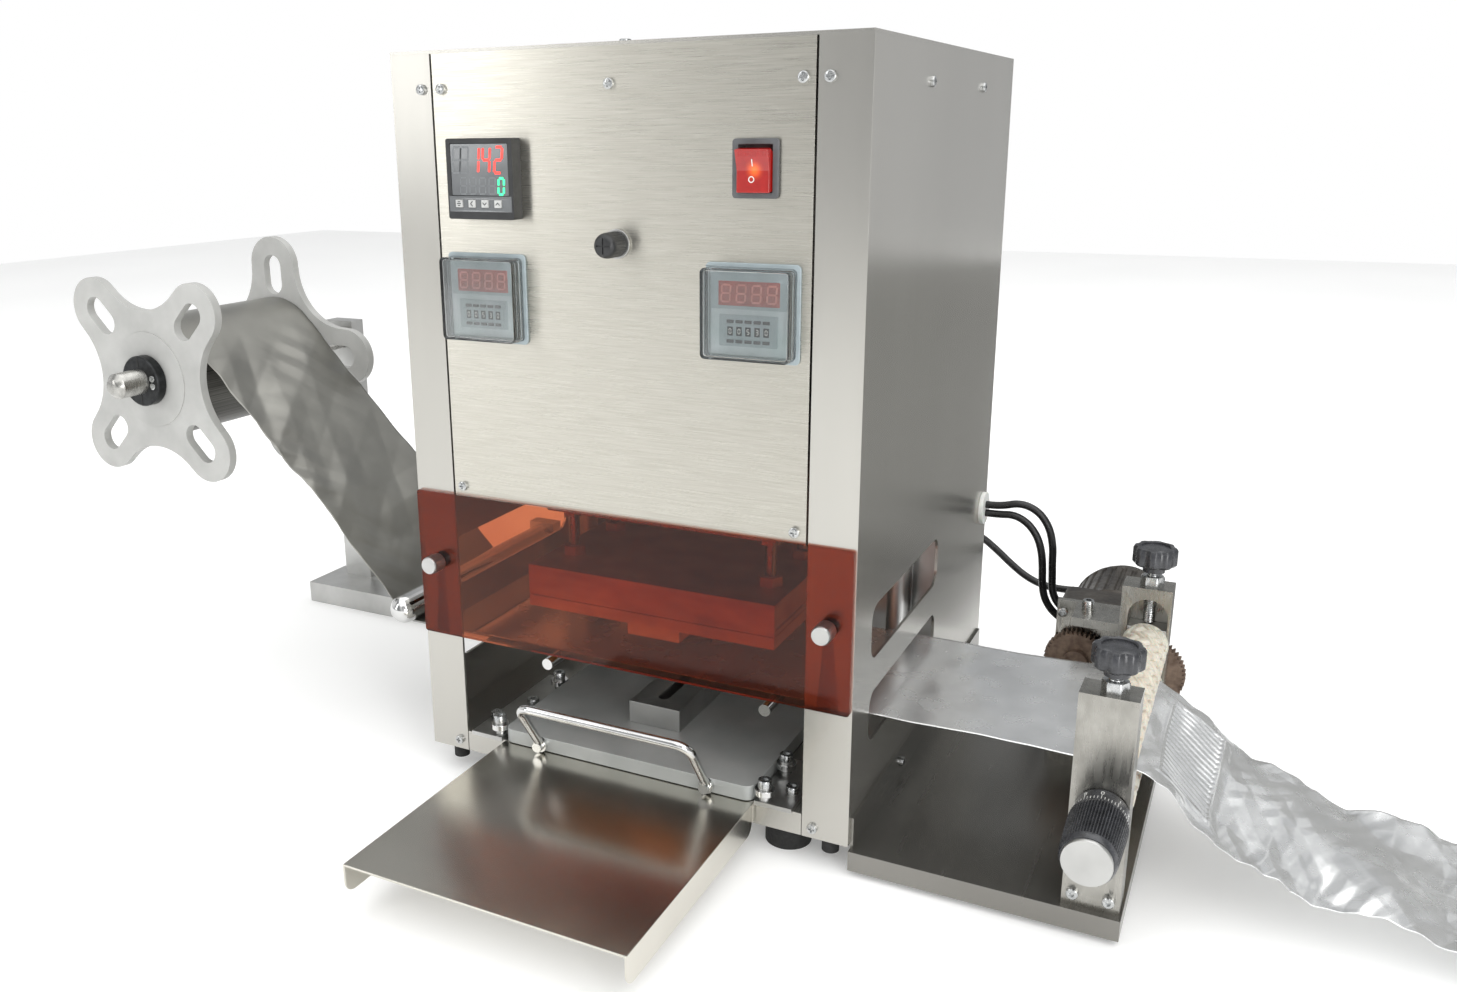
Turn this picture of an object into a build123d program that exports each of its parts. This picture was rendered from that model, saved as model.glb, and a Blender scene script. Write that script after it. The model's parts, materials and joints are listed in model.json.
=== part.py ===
from build123d import *
import math
import os

# Benchtop heat-seal press for foil webs: an unwind reel on the left, a hand-pulled drawer under a
# heated platen in the cabinet, and motor-driven nip rollers on the right.
# Millimetres. +X right and -Y towards the operator, +Z up. The origin is on the bench, under the
# centre of the cabinet.

os.makedirs("parts", exist_ok=True)

# ---- Driving dimensions -------------------------------------------------------------------------
cabinet_width = 312.0
cabinet_depth = 340.0
cabinet_top = 493.0            # outer top face above the bench
post_bottom = 20.0             # lower edge of the side panels
sheet = 2.0                    # stainless sheet of the cabinet
post_width = 30.0              # front flange of each side panel
rear_flange = 15.0
base_top = 35.0                # upper face of the base plate
panel_gap = 1.4                # joint between front panel and posts
panel_bottom = 210.3
panel_return = 12.0

film_width = 136.0
film_from_front = 172.0        # front of the cabinet to the rear edge of the film
film_height = 93.4             # middle of the level film web
film_thick = 0.4
film_clear = 0.3

slot_low = (73.0, 107.0)       # film slot in the side panels: lower and upper edge
slot_high = (129.0, 164.5)     # hand slot above it
slot_from_front = (33.5, 187.0)
slot_radius = 10.0

platen_from_front = 100.0      # front of the cabinet to the middle of the platen
platen_size = (184.0, 130.0)
platen_bottom = 124.3
platen_plate = 8.0
platen_block = 21.6
platen_groove = 0.6
die_size = (39.6, 110.0, 12.8)
carrier_height = 190.0
carrier_thick = 8.0
carrier_size = (176.0, 96.0)
hanger_x = 75.0
hanger_y = 30.0
hanger_r = 4.0
press_plate_z = 250.0
press_plate_thick = 10.0
press_rod_r = 8.0
guide_rod_r = 6.0
guide_rod_x = 48.0
running = 0.05                 # radial clearance of a running fit

drawer_size = (187.0, 202.0, 10.0)
drawer_proud = 2.0             # drawer plate in front of the cabinet
drawer_lift = 0.5              # drawer plate above the base plate
nest_size = (39.0, 100.0, 16.0)
nest_from_front = 45.0
nest_slot = (8.0, 76.0, 10.0)
handle_x = 62.5
handle_rod_r = 3.0
handle_reach = 28.0
handle_top = 80.0
lug_r = 4.9
lug_thick = 3.0
bearing_r = 6.5
bearing_bore = 2.5
bearing_thick = 4.0
bearing_gap = 0.3              # drawer edge to bearing ring
bearing_places = ((1, 2.0), (1, 39.0), (-1, 4.0), (-1, 83.0))   # side, distance from the front
rail_plate = (25.0, 3.0)       # width and thickness of the plates under the bearings
rail_inner = 95.0

apron_width = 188.0
apron_depth = 169.0
apron_sheet = 1.5
apron_flange = 20.0

guard_thick = 3.0
guard_z = (108.0, 211.0)
guard_inset = 1.0
guard_knob_inset = 16.0
guard_knob_z = 161.5
guard_knob_r = 6.0

controller_x, controller_drop = -86.0, 76.0
din_face = 48.0                # 48 mm panel instruments
din_body = 44.6
din_cutout = 45.2
controller_bezel = 10.0
key_size = (5.6, 5.2)
key_gap = 0.25
key_pitch = 9.5
key_travel = 0.6
timer_x, timer_drop = 90.0, 149.2
timer_frame = (58.0, 56.0, 1.5)
timer_face = 4.5
cover_size = (54.0, 51.6, 12.4)
cover_wall = 1.4
rocker_x, rocker_drop = 91.4, 69.8
rocker_bezel_size = (27.5, 32.0, 2.5)
rocker_cap_size = (19.6, 23.4)
rocker_tilt = 8.0
fuse_x, fuse_drop = 3.5, 113.0

reel_reach, reel_z = 284.0, 259.0   # cabinet side to reel axis
roll_r = 48.0
core_r = 38.0
flange_tip = 101.0
flange_waist = 55.0
flange_lobe_r = 24.0
flange_thick = 7.0
flange_gap = 0.4
shaft_r = 10.0
collar_r = 20.0
collar_thick = 9.0
journal_r = 6.0
stand_back = (78.0, 94.0)      # film edge to the faces of the reel post
guide_reach = 44.0
guide_r = 10.6

table_width = 158.0
table_top = 17.0
nip_reach = 142.5              # cabinet side to the nip rollers
nip_r = 14.75
nip_block_side = (17.5, 14.0)   # nip axis to the block faces
nip_block_thick = 21.0
nip_from_front = (5.0, 207.0)  # outer faces of the two blocks
nip_block_top = 147.5
pocket_width = 25.0
pocket_depth = 15.5
pocket_z = (95.0, 140.0)
slider_gap = 0.1
lift_travel = 1.5
screw_r = 4.0
star_z = 161.0
star_r = 14.0
gear_module = 1.0
roller_teeth = 50
pinion_teeth = 42
gear_gap = 1.5                 # rear block to gear face
gear_thick = 7.0
bracket_gap = 11.0
bracket_thick = 5.0

grommet_inset, grommet_z = 16.0, 147.5
cable_r = 3.0

# ---- Derived places -----------------------------------------------------------------------------
half_w = cabinet_width / 2
front = -cabinet_depth / 2
rear = cabinet_depth / 2
wall_in = half_w - sheet
panel_half = half_w - post_width - panel_gap
film_rear = front + film_from_front
film_front = film_rear - film_width
slot_y = (front + slot_from_front[0], front + slot_from_front[1])
platen_centre = front + platen_from_front
drawer_front = front - drawer_proud
nest_front = front + nest_from_front
bearing_spots = [(side, front + back) for side, back in bearing_places]
guard_half = half_w - guard_inset
guard_knob_x = half_w - guard_knob_inset
controller_z = cabinet_top - controller_drop
timer_z = cabinet_top - timer_drop
rocker_z = cabinet_top - rocker_drop
fuse_z = cabinet_top - fuse_drop
reel_x = -half_w - reel_reach
guide_x = -half_w - guide_reach
table_x = (half_w, half_w + table_width)
nip_x = half_w + nip_reach
nip_block_x = (nip_x - nip_block_side[0], nip_x + nip_block_side[1])
nip_front = front + nip_from_front[0]
nip_rear = front + nip_from_front[1]
gear_y = (nip_rear + gear_gap, nip_rear + gear_gap + gear_thick)
bracket_y = nip_rear + bracket_gap
grommet_y = rear - grommet_inset
nip_low_z = film_height - film_thick / 2 - film_clear - nip_r
nip_high_z = film_height + film_thick / 2 + film_clear + nip_r
guide_wrap = guide_r + film_clear + film_thick / 2
guide_z = film_height + guide_wrap
drawer_z = base_top + drawer_lift
drawer_top = drawer_z + drawer_size[2]
pinion_x = nip_x - gear_module * (roller_teeth + pinion_teeth) / 2
panel_back = front + sheet


# ---- Helpers ------------------------------------------------------------------------------------
def block(low, high, mode=Mode.ADD):
    """A box between two opposite corners, in the piece being built."""
    size = [abs(b - a) for a, b in zip(low, high)]
    with Locations(tuple((a + b) / 2 for a, b in zip(low, high))):
        Box(*size, mode=mode)


def bar(start, direction, radius, length, mode=Mode.ADD):
    """A round bar from a start point along a direction, in the piece being built."""
    with Locations(Plane(origin=start, z_dir=direction)):
        Cylinder(radius, length, align=(Align.CENTER, Align.CENTER, Align.MIN), mode=mode)


def screw(head_at, outward, head_r, head_high, shank_r, shank_long):
    """A screw whose head stands on head_at and whose shank goes the other way."""
    inward = tuple(-c for c in outward)
    bar(head_at, outward, head_r, head_high)
    bar(head_at, inward, shank_r, shank_long)


def ring(start, direction, outer, inner, length):
    """A plain ring: a round bar with a bore."""
    bar(start, direction, outer, length)
    bar(start, direction, inner, length, mode=Mode.SUBTRACT)


def involute(angle):
    """The involute function of an angle in radians."""
    return math.tan(angle) - angle


def gear_outline(teeth, module, turn, backlash=0.12, flank_points=4):
    """Corner points of a 20 degree involute gear, with a tooth centred at the angle turn."""
    pressure = math.radians(20)
    pitch = teeth * module / 2
    base = pitch * math.cos(pressure)
    tip, root = pitch + module, pitch - 1.2 * module
    half = math.pi / (2 * teeth) - backlash / (2 * pitch) + involute(pressure)
    first = max(root, base)
    radii = [first + (tip - first) * k / (flank_points - 1) for k in range(flank_points)]
    flank = [(r, half - involute(math.acos(min(1.0, base / r)))) for r in radii]
    points = []
    for tooth in range(teeth):
        middle = turn + 2 * math.pi * tooth / teeth
        points.append((root, middle - flank[0][1]))
        points += [(r, middle - a) for r, a in flank[1:]]
        points += [(r, middle + a) for r, a in reversed(flank[1:])]
        points.append((root, middle + flank[0][1]))
    return [(r * math.cos(a), r * math.sin(a)) for r, a in points]


def cord_radii(points, diameter):
    """The arc radius for each inner corner of a cord's route, printed in diameters."""
    spots = [Vector(*p) for p in points]
    runs = [b - a for a, b in zip(spots, spots[1:])]
    radii = []
    for before, after in zip(runs, runs[1:]):
        turn = math.radians(before.get_angle(after))
        radii.append(0.45 * min(before.length, after.length) / math.tan(turn / 2))
    print("cord radii in diameters:", [round(r / diameter, 1) for r in radii])
    return radii


# ---- Cabinet ------------------------------------------------------------------------------------
foot_spots = [(sx * (half_w - 48), sy * (rear - 25)) for sx in (-1, 1) for sy in (-1, 1)]
post_foot_spots = [(side * (half_w - 15), front + 12) for side in (-1, 1)]
screw_row = cabinet_top - 22.8
post_screws = [(s * (half_w - 23.1), z) for s in (-1, 1) for z in (screw_row, post_bottom + 7)]
panel_screws = [(-panel_half + 6.6, screw_row), (panel_half - 6.6, screw_row), (0, screw_row),
                (-panel_half + 7, panel_bottom + 7), (panel_half - 7, panel_bottom + 7)]
side_screws = [(front + 113, screw_row), (front + 245, screw_row)]
rear_screws = [(s * (half_w - 8), z) for s in (-1, 1) for z in (60, 270, screw_row)]
table_screws = [(front + 107, 26.5), (front + 267, 26.5)]
cover_screw = (0, front + 20)
screw_hole = 2.1
post_clear = 0.5               # base plate lip to the posts
grommet_neck = 10.9
grommet_flange = 3.5
shank = 1.95
screw_long = 6.0
pan_head = (3.25, 2.2)         # radius and height of the small round heads

with BuildPart() as base_plate:
    block((-wall_in, panel_back, base_top - sheet), (wall_in, rear - 2 * sheet, base_top))
    block((-half_w + post_width + post_clear, front, post_bottom),
          (half_w - post_width - post_clear, panel_back, base_top))
    for side in (-1, 1):
        block((side * wall_in, panel_back, post_bottom),
              (side * (wall_in - sheet), rear - 2 * sheet, base_top - sheet))
    for y, z in table_screws:
        bar((wall_in - sheet - 1, y, z), (1, 0, 0), screw_hole, 2 * sheet, mode=Mode.SUBTRACT)
base_plate.part.label = "base_plate"
export_step(base_plate.part, "parts/base_plate.step")

for side, name in ((-1, "left"), (1, "right")):
    with BuildPart() as side_panel:
        block((side * wall_in, front, post_bottom), (side * half_w, rear - sheet, cabinet_top - sheet))
        block((side * (half_w - post_width), front, post_bottom),
              (side * half_w, panel_back, cabinet_top - sheet))
        block((side * (half_w - rear_flange), rear - 2 * sheet, post_bottom),
              (side * half_w, rear - sheet, cabinet_top - sheet))
        for low, high in (slot_low, slot_high):
            with BuildSketch(Plane.YZ.offset(side * half_w - sheet)):
                with Locations(((slot_y[0] + slot_y[1]) / 2, (low + high) / 2)):
                    RectangleRounded(slot_y[1] - slot_y[0], high - low, slot_radius)
            extrude(amount=2 * sheet, both=True, mode=Mode.SUBTRACT)
        for x, z in post_screws:
            bar((x, front - 1, z), (0, 1, 0), screw_hole, 2 * sheet, mode=Mode.SUBTRACT)
        for y, z in side_screws:
            bar((side * (wall_in - 1), y, z), (side, 0, 0), screw_hole, 2 * sheet, mode=Mode.SUBTRACT)
        for x, z in rear_screws:
            bar((x, rear - 2 * sheet - 1, z), (0, 1, 0), screw_hole, 2 * sheet, mode=Mode.SUBTRACT)
        if side > 0:
            bar((wall_in - 1, grommet_y, grommet_z), (1, 0, 0), grommet_neck + 0.1, 2 * sheet,
                mode=Mode.SUBTRACT)
            for y, z in table_screws:
                bar((wall_in - 1, y, z), (1, 0, 0), screw_hole, 2 * sheet, mode=Mode.SUBTRACT)
        bar((side * guard_knob_x, front - 1, guard_knob_z), (0, 1, 0), screw_hole, 2 * sheet,
            mode=Mode.SUBTRACT)
    side_panel.part.label = f"side_panel_{name}"
    export_step(side_panel.part, f"parts/side_panel_{name}.step")

inlet_size = (28.0, 20.0)
inlet_at = (-half_w + 56, 90.0)
fitting_at = (-40.0, 90.0)
fitting_r = 6.5                # thread of the air bulkhead
air_tube_r = 3.0               # 6 mm air line
rear_gland_at = (half_w - 25, 114.0)
vent_z = [cabinet_top - 163 + 16 * k for k in range(8)]

with BuildPart() as cover:
    block((-half_w, front, cabinet_top - sheet), (half_w, rear, cabinet_top))
    block((-half_w, rear - sheet, base_top), (half_w, rear, cabinet_top))
    block((-panel_half, panel_back, cabinet_top - sheet - 12),
          (panel_half, panel_back + sheet, cabinet_top - sheet))
    for x, z in rear_screws:
        bar((x, rear - sheet - 1, z), (0, 1, 0), screw_hole, 2 * sheet, mode=Mode.SUBTRACT)
    with BuildSketch(Plane.XZ.offset(-rear + sheet)):
        with Locations((inlet_at[0], inlet_at[1])):
            Rectangle(inlet_size[0], inlet_size[1])
        with Locations((fitting_at[0], fitting_at[1])):
            Circle(fitting_r + 0.1)
        with Locations((rear_gland_at[0], rear_gland_at[1])):
            Circle(4.1)
        for z in vent_z:
            with Locations((0, z)):
                SlotOverall(120, 5)
    extrude(amount=2 * sheet, both=True, mode=Mode.SUBTRACT)
    bar((cover_screw[0], cover_screw[1], cabinet_top - sheet - 1), (0, 0, 1), screw_hole, 2 * sheet,
        mode=Mode.SUBTRACT)
cover.part.label = "cover"
export_step(cover.part, "parts/cover.step")

with BuildPart() as front_panel:
    block((-panel_half, front, panel_bottom), (panel_half, panel_back, cabinet_top - sheet))
    for side in (-1, 1):
        block((side * panel_half, panel_back, panel_bottom),
              (side * (panel_half - sheet), panel_back + panel_return, cabinet_top - sheet - 14))
    with BuildSketch(Plane.XZ.offset(-front)):
        with Locations((controller_x, controller_z), (timer_x, timer_z), (-timer_x, timer_z)):
            Rectangle(din_cutout, din_cutout)
        with Locations((rocker_x, rocker_z)):
            Rectangle(rocker_bezel_size[0] - 5, rocker_bezel_size[1] - 4)
        with Locations((fuse_x, fuse_z)):
            Circle(6.2)
        with Locations(*panel_screws):
            Circle(screw_hole)
    extrude(amount=2 * sheet, both=True, mode=Mode.SUBTRACT)
front_panel.part.label = "front_panel"
export_step(front_panel.part, "parts/front_panel.step")

nip_screw_x = (nip_x - 11.5, nip_x + 8)
nip_screw_z = table_top + 8
arm_z = (113.0, 119.0)
arm_screw = (nip_x - 40.5, nip_rear + 1, arm_z[1])
plate_screw = (nip_x - 58.5, bracket_y, 110)
front_block_mid = nip_front + nip_block_thick / 2
rear_block_mid = nip_rear - nip_block_thick / 2

with BuildPart() as fasteners:
    for x, z in post_screws:
        screw((x, front, z), (0, -1, 0), *pan_head, shank, screw_long)
    for x, z in panel_screws:
        screw((x, front, z), (0, -1, 0), *pan_head, shank, screw_long)
    for side in (-1, 1):
        for y, z in side_screws:
            screw((side * half_w, y, z), (side, 0, 0), *pan_head, shank, screw_long)
    for x, z in rear_screws:
        screw((x, rear, z), (0, 1, 0), *pan_head, shank, screw_long)
    screw((cover_screw[0], cover_screw[1], cabinet_top), (0, 0, 1), 3.6, 2.4, shank, 6)
    for y, z in table_screws:
        screw((half_w + sheet, y, z), (1, 0, 0), *pan_head, shank, screw_long + sheet)
    for y in (front_block_mid, rear_block_mid):
        with BuildSketch(Plane.XY.offset(nip_block_top)):
            with Locations((nip_x, y)):
                RegularPolygon(radius=7.5, side_count=6)
                Circle(screw_r + running, mode=Mode.SUBTRACT)
        extrude(amount=6.5)
    for x in nip_screw_x:
        screw((x, nip_front, nip_screw_z), (0, -1, 0), 3.5, 3.0, shank, 8)
    screw(arm_screw, (0, 0, 1), 4.3, 6.5, shank, 4)
    screw(plate_screw, (0, -1, 0), 3.5, 2.4, shank, 4)
fasteners.part.label = "fasteners"
export_step(fasteners.part, "parts/fasteners.step")

with BuildPart() as feet:
    for x, y in foot_spots:
        bar((x, y, 0), (0, 0, 1), 15, 18)
        bar((x, y, 18), (0, 0, 1), 9, base_top - sheet - 18)
    for x, y in post_foot_spots:
        bar((x, y, 8), (0, 0, 1), 5.5, base_top - sheet - 8)
feet.part.label = "feet"
export_step(feet.part, "parts/feet.step")

with BuildPart() as guard:
    with BuildSketch(Plane.XZ.offset(-front)):
        with Locations((0, sum(guard_z) / 2)):
            RectangleRounded(2 * guard_half, guard_z[1] - guard_z[0], 2)
        with Locations((guard_knob_x, guard_knob_z), (-guard_knob_x, guard_knob_z)):
            Circle(screw_hole, mode=Mode.SUBTRACT)
    extrude(amount=guard_thick)
guard.part.label = "guard"
export_step(guard.part, "parts/guard.step")

with BuildPart() as guard_knobs:
    for side in (-1, 1):
        screw((side * guard_knob_x, front - guard_thick, guard_knob_z), (0, -1, 0), guard_knob_r, 12,
              shank, 8)
guard_knobs.part.label = "guard_knobs"
export_step(guard_knobs.part, "parts/guard_knobs.step")

# ---- Drawer, its bearings and the apron ---------------------------------------------------------
apron_front = front - apron_depth
with BuildPart() as apron:
    block((-apron_width / 2, apron_front, base_top - apron_sheet), (apron_width / 2, front, base_top))
    block((-apron_width / 2, front - apron_sheet, base_top - 14), (apron_width / 2, front, base_top))
    for side in (-1, 1):
        with BuildSketch(Plane.YZ.offset(side * (apron_width / 2 - apron_sheet / 2))):
            with Locations(((apron_front + front - 3) / 2, base_top - apron_flange / 2)):
                flange_sheet = Rectangle(apron_depth - 3, apron_flange)
            fillet(flange_sheet.vertices().group_by(Axis.Y)[0], 8)
        extrude(amount=apron_sheet / 2, both=True)
apron.part.label = "apron"
export_step(apron.part, "parts/apron.step")

drawer_mid = drawer_front + drawer_size[1] / 2
lug_z = drawer_z + drawer_size[2] / 2
with BuildPart() as drawer_plate:
    with BuildSketch(Plane.XY.offset(drawer_z)):
        with Locations((0, drawer_mid)):
            RectangleRounded(drawer_size[0], drawer_size[1], 7)
    extrude(amount=drawer_size[2])
    for side in (-1, 1):
        bar((side * handle_x, drawer_front, lug_z), (0, 1, 0), shank + running, 9, mode=Mode.SUBTRACT)
drawer_plate.part.label = "drawer_plate"
export_step(drawer_plate.part, "parts/drawer_plate.step")

nest_slot_mid = nest_front + 12 + nest_slot[1] / 2
with BuildPart() as nest_block:
    block((-nest_size[0] / 2, nest_front, drawer_top),
          (nest_size[0] / 2, nest_front + nest_size[1], drawer_top + nest_size[2]))
    with BuildSketch(Plane.XY.offset(drawer_top + nest_size[2] - nest_slot[2])):
        with Locations((0, nest_slot_mid)):
            SlotOverall(nest_slot[1], nest_slot[0], rotation=90)
    extrude(amount=nest_slot[2], mode=Mode.SUBTRACT)
nest_block.part.label = "nest_block"
export_step(nest_block.part, "parts/nest_block.step")

grip_y = drawer_front - handle_reach
foot_y = drawer_front - lug_thick / 2
with BuildPart() as drawer_handle:
    with BuildLine() as handle_path:
        FilletPolyline(
            (-handle_x, foot_y, lug_z), (-handle_x, grip_y, handle_top),
            (handle_x, grip_y, handle_top), (handle_x, foot_y, lug_z), radius=9)
    with BuildSketch(Plane(origin=handle_path.line @ 0, z_dir=handle_path.line % 0)):
        Circle(handle_rod_r)
    sweep()
    for side in (-1, 1):
        block((side * handle_x - 5, drawer_front, lug_z - 10), (side * handle_x + 5, drawer_front + 8,
              lug_z + 10), mode=Mode.SUBTRACT)
        bar((side * handle_x, drawer_front - lug_thick, lug_z), (0, 1, 0), lug_r, lug_thick)
        bar((side * handle_x, drawer_front - lug_thick, lug_z), (0, -1, 0), 3.5, 4)
        bar((side * handle_x, drawer_front, lug_z), (0, 1, 0), shank, 8)
drawer_handle.part.label = "drawer_handle"
export_step(drawer_handle.part, "parts/drawer_handle.step")

bearing_x = drawer_size[0] / 2 + bearing_gap + bearing_r
bearing_z = drawer_top - bearing_thick
for number, (side, y) in enumerate(bearing_spots, start=1):
    with BuildPart() as guide_bearing:
        ring((side * bearing_x, y, bearing_z), (0, 0, 1), bearing_r, bearing_bore + running,
             bearing_thick)
    guide_bearing.part.label = f"guide_bearing_{number}"
    export_step(guide_bearing.part, f"parts/guide_bearing_{number}.step")

rail_top = base_top + rail_plate[1]
with BuildPart() as bearing_mounts:
    for side, y_back in ((1, front + 58), (-1, front + 100)):
        block((side * rail_inner, front - 3, base_top), (side * (rail_inner + rail_plate[0]), y_back,
              rail_top))
    for side, y in bearing_spots:
        bar((side * bearing_x, y, rail_top), (0, 0, 1), 3.75, bearing_z - rail_top - 0.1)
        bar((side * bearing_x, y, rail_top), (0, 0, 1), bearing_bore, drawer_top + 0.1 - rail_top)
        bar((side * bearing_x, y, drawer_top + 0.1), (0, 0, 1), 4.25, 5)
    for x, y in ((114, front + 15), (-102, front + 49), (-114, front + 20)):
        bar((x, y, rail_top), (0, 0, 1), 4.25, 5)
bearing_mounts.part.label = "bearing_mounts"
export_step(bearing_mounts.part, "parts/bearing_mounts.step")

# ---- Press --------------------------------------------------------------------------------------
back_plate_y = (front + 192, front + 200)
door_gap = 2.0                 # around the drawer where it passes the back plate
film_rod_x = (-70.0, 92.0)
film_rod_r = 4.0
film_rod_z = film_height - film_thick / 2 - film_clear - film_rod_r
column_x, column_y, column_r = half_w - 25, back_plate_y[0] - 10.5, 9.0
cylinder_size = (60.0, 60.0, 90.0)
press_top = press_plate_z + press_plate_thick

with BuildPart() as film_rods:
    for x in film_rod_x:
        bar((x, front + 20, film_rod_z), (0, 1, 0), film_rod_r, back_plate_y[0] - front - 20)
film_rods.part.label = "film_rods"
export_step(film_rods.part, "parts/film_rods.step")

with BuildPart() as press_frame:
    block((-wall_in + 0.5, back_plate_y[0], base_top), (wall_in - 0.5, back_plate_y[1], press_plate_z))
    block((-wall_in + 0.5, platen_centre - 60, press_plate_z), (wall_in - 0.5, back_plate_y[1], press_top))
    block((-drawer_size[0] / 2 - door_gap, back_plate_y[0], base_top),
          (drawer_size[0] / 2 + door_gap, back_plate_y[1], drawer_top + door_gap), mode=Mode.SUBTRACT)
    for side in (-1, 1):
        bar((side * column_x, column_y, base_top), (0, 0, 1), column_r, press_plate_z - base_top)
        bar((side * guide_rod_x, platen_centre, press_plate_z), (0, 0, 1), guide_rod_r + running,
            press_plate_thick, mode=Mode.SUBTRACT)
    bar((0, platen_centre, press_plate_z), (0, 0, 1), press_rod_r + 1, press_plate_thick,
        mode=Mode.SUBTRACT)
press_frame.part.label = "press_frame"
export_step(press_frame.part, "parts/press_frame.step")

with BuildPart() as press_cylinder:
    with BuildSketch(Plane.XY.offset(press_top)):
        with Locations((0, platen_centre)):
            RectangleRounded(cylinder_size[0], cylinder_size[1], 6)
    extrude(amount=cylinder_size[2])
    bar((0, platen_centre, press_top), (0, 0, 1), press_rod_r + running, cylinder_size[2] - 10,
        mode=Mode.SUBTRACT)
    for z in (press_top + 12, press_top + cylinder_size[2] - 12):
        bar((0, platen_centre - cylinder_size[1] / 2, z), (0, -1, 0), 5, 14)
press_cylinder.part.label = "press_cylinder"
export_step(press_cylinder.part, "parts/press_cylinder.step")

carrier_top = carrier_height + carrier_thick
platen_top = platen_bottom + platen_plate + platen_groove + platen_block
hangers = [(sx * hanger_x, platen_centre + sy * hanger_y) for sx in (-1, 1) for sy in (-1, 1)]
nut_r, nut_high = 8.0, 6.5

with BuildPart() as platen_carrier:
    with BuildSketch(Plane.XY.offset(carrier_height)):
        with Locations((0, platen_centre)):
            RectangleRounded(carrier_size[0], carrier_size[1], 5)
    extrude(amount=carrier_thick)
    bar((0, platen_centre, carrier_top), (0, 0, 1), press_rod_r, press_top + 30 - carrier_top)
    for side in (-1, 1):
        bar((side * guide_rod_x, platen_centre, carrier_top), (0, 0, 1), guide_rod_r,
            press_top + 12 - carrier_top)
    for x, y in hangers:
        bar((x, y, platen_top), (0, 0, 1), hanger_r, carrier_top + 12 - platen_top)
        for z in (platen_top, carrier_height - nut_high, carrier_top):
            with BuildSketch(Plane.XY.offset(z)):
                with Locations((x, y)):
                    RegularPolygon(radius=nut_r, side_count=6)
            extrude(amount=nut_high)
platen_carrier.part.label = "platen_carrier"
export_step(platen_carrier.part, "parts/platen_carrier.step")

with BuildPart() as heater_block:
    px, py = platen_size[0] / 2, platen_size[1] / 2
    block((-px, platen_centre - py, platen_bottom), (px, platen_centre + py, platen_bottom + platen_plate))
    groove_top = platen_bottom + platen_plate + platen_groove
    block((-px + 2, platen_centre - py + 2, platen_bottom + platen_plate),
          (px - 2, platen_centre + py - 2, groove_top))
    block((-px, platen_centre - py, groove_top), (px, platen_centre + py, platen_top))
    for side in (-1, 1):
        block((side * px, platen_centre - py + 3, groove_top + 3),
              (side * (px - 1.5), platen_centre + py - 3, platen_top - 3), mode=Mode.SUBTRACT)
        bar((side * (px - 1.5), platen_centre, groove_top + platen_block / 2), (side, 0, 0), 4, 5)
heater_block.part.label = "heater_block"
export_step(heater_block.part, "parts/heater_block.step")

with BuildPart() as sealing_die:
    block((-die_size[0] / 2, platen_centre - die_size[1] / 2, platen_bottom - die_size[2]),
          (die_size[0] / 2, platen_centre + die_size[1] / 2, platen_bottom))
sealing_die.part.label = "sealing_die"
export_step(sealing_die.part, "parts/sealing_die.step")

# ---- Front panel controls -----------------------------------------------------------------------
keys_x = [controller_x - 15.4 + key_pitch * k for k in range(4)]
keys_z = controller_z - 14.6
bezel_front = front - controller_bezel
key_depth = 4.0

with BuildPart() as controller_housing:
    with BuildSketch(Plane.XZ.offset(-front)):
        with Locations((controller_x, controller_z)):
            RectangleRounded(din_face, din_face, 1.5)
    extrude(amount=controller_bezel)
    block((controller_x - din_body / 2, front, controller_z - din_body / 2),
          (controller_x + din_body / 2, front + 75, controller_z + din_body / 2))
    block((controller_x - 21, bezel_front, controller_z - 10), (controller_x + 21, bezel_front + 1,
          controller_z + 21), mode=Mode.SUBTRACT)
    for x in keys_x:
        block((x - key_size[0] / 2, bezel_front, keys_z - key_size[1] / 2),
              (x + key_size[0] / 2, bezel_front + key_depth, keys_z + key_size[1] / 2),
              mode=Mode.SUBTRACT)
controller_housing.part.label = "controller_housing"
export_step(controller_housing.part, "parts/controller_housing.step")

key_w, key_h = key_size[0] / 2 - key_gap, key_size[1] / 2 - key_gap
for x, name in zip(keys_x, ("set", "shift", "down", "up")):
    with BuildPart() as key:
        block((x - key_w, bezel_front - 0.9, keys_z - key_h),
              (x + key_w, bezel_front + key_depth - key_travel - 0.3, keys_z + key_h))
        fillet(key.faces().sort_by(Axis.Y)[0].edges(), 0.4)
    key.part.label = f"key_{name}"
    export_step(key.part, f"parts/key_{name}.step")

cover_back = front - timer_frame[2] - 0.2
with BuildPart() as timer_housings:
    for side in (-1, 1):
        with BuildSketch(Plane.XZ.offset(-front)):
            with Locations((side * timer_x, timer_z)):
                RectangleRounded(timer_frame[0], timer_frame[1], 3)
        extrude(amount=timer_frame[2])
        with BuildSketch(Plane.XZ.offset(-front + timer_frame[2])):
            with Locations((side * timer_x, timer_z)):
                RectangleRounded(din_face, din_face, 1.5)
        extrude(amount=timer_face)
        block((side * timer_x - din_body / 2, front, timer_z - din_body / 2),
              (side * timer_x + din_body / 2, front + 65, timer_z + din_body / 2))
timer_housings.part.label = "timer_housings"
export_step(timer_housings.part, "parts/timer_housings.step")

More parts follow.
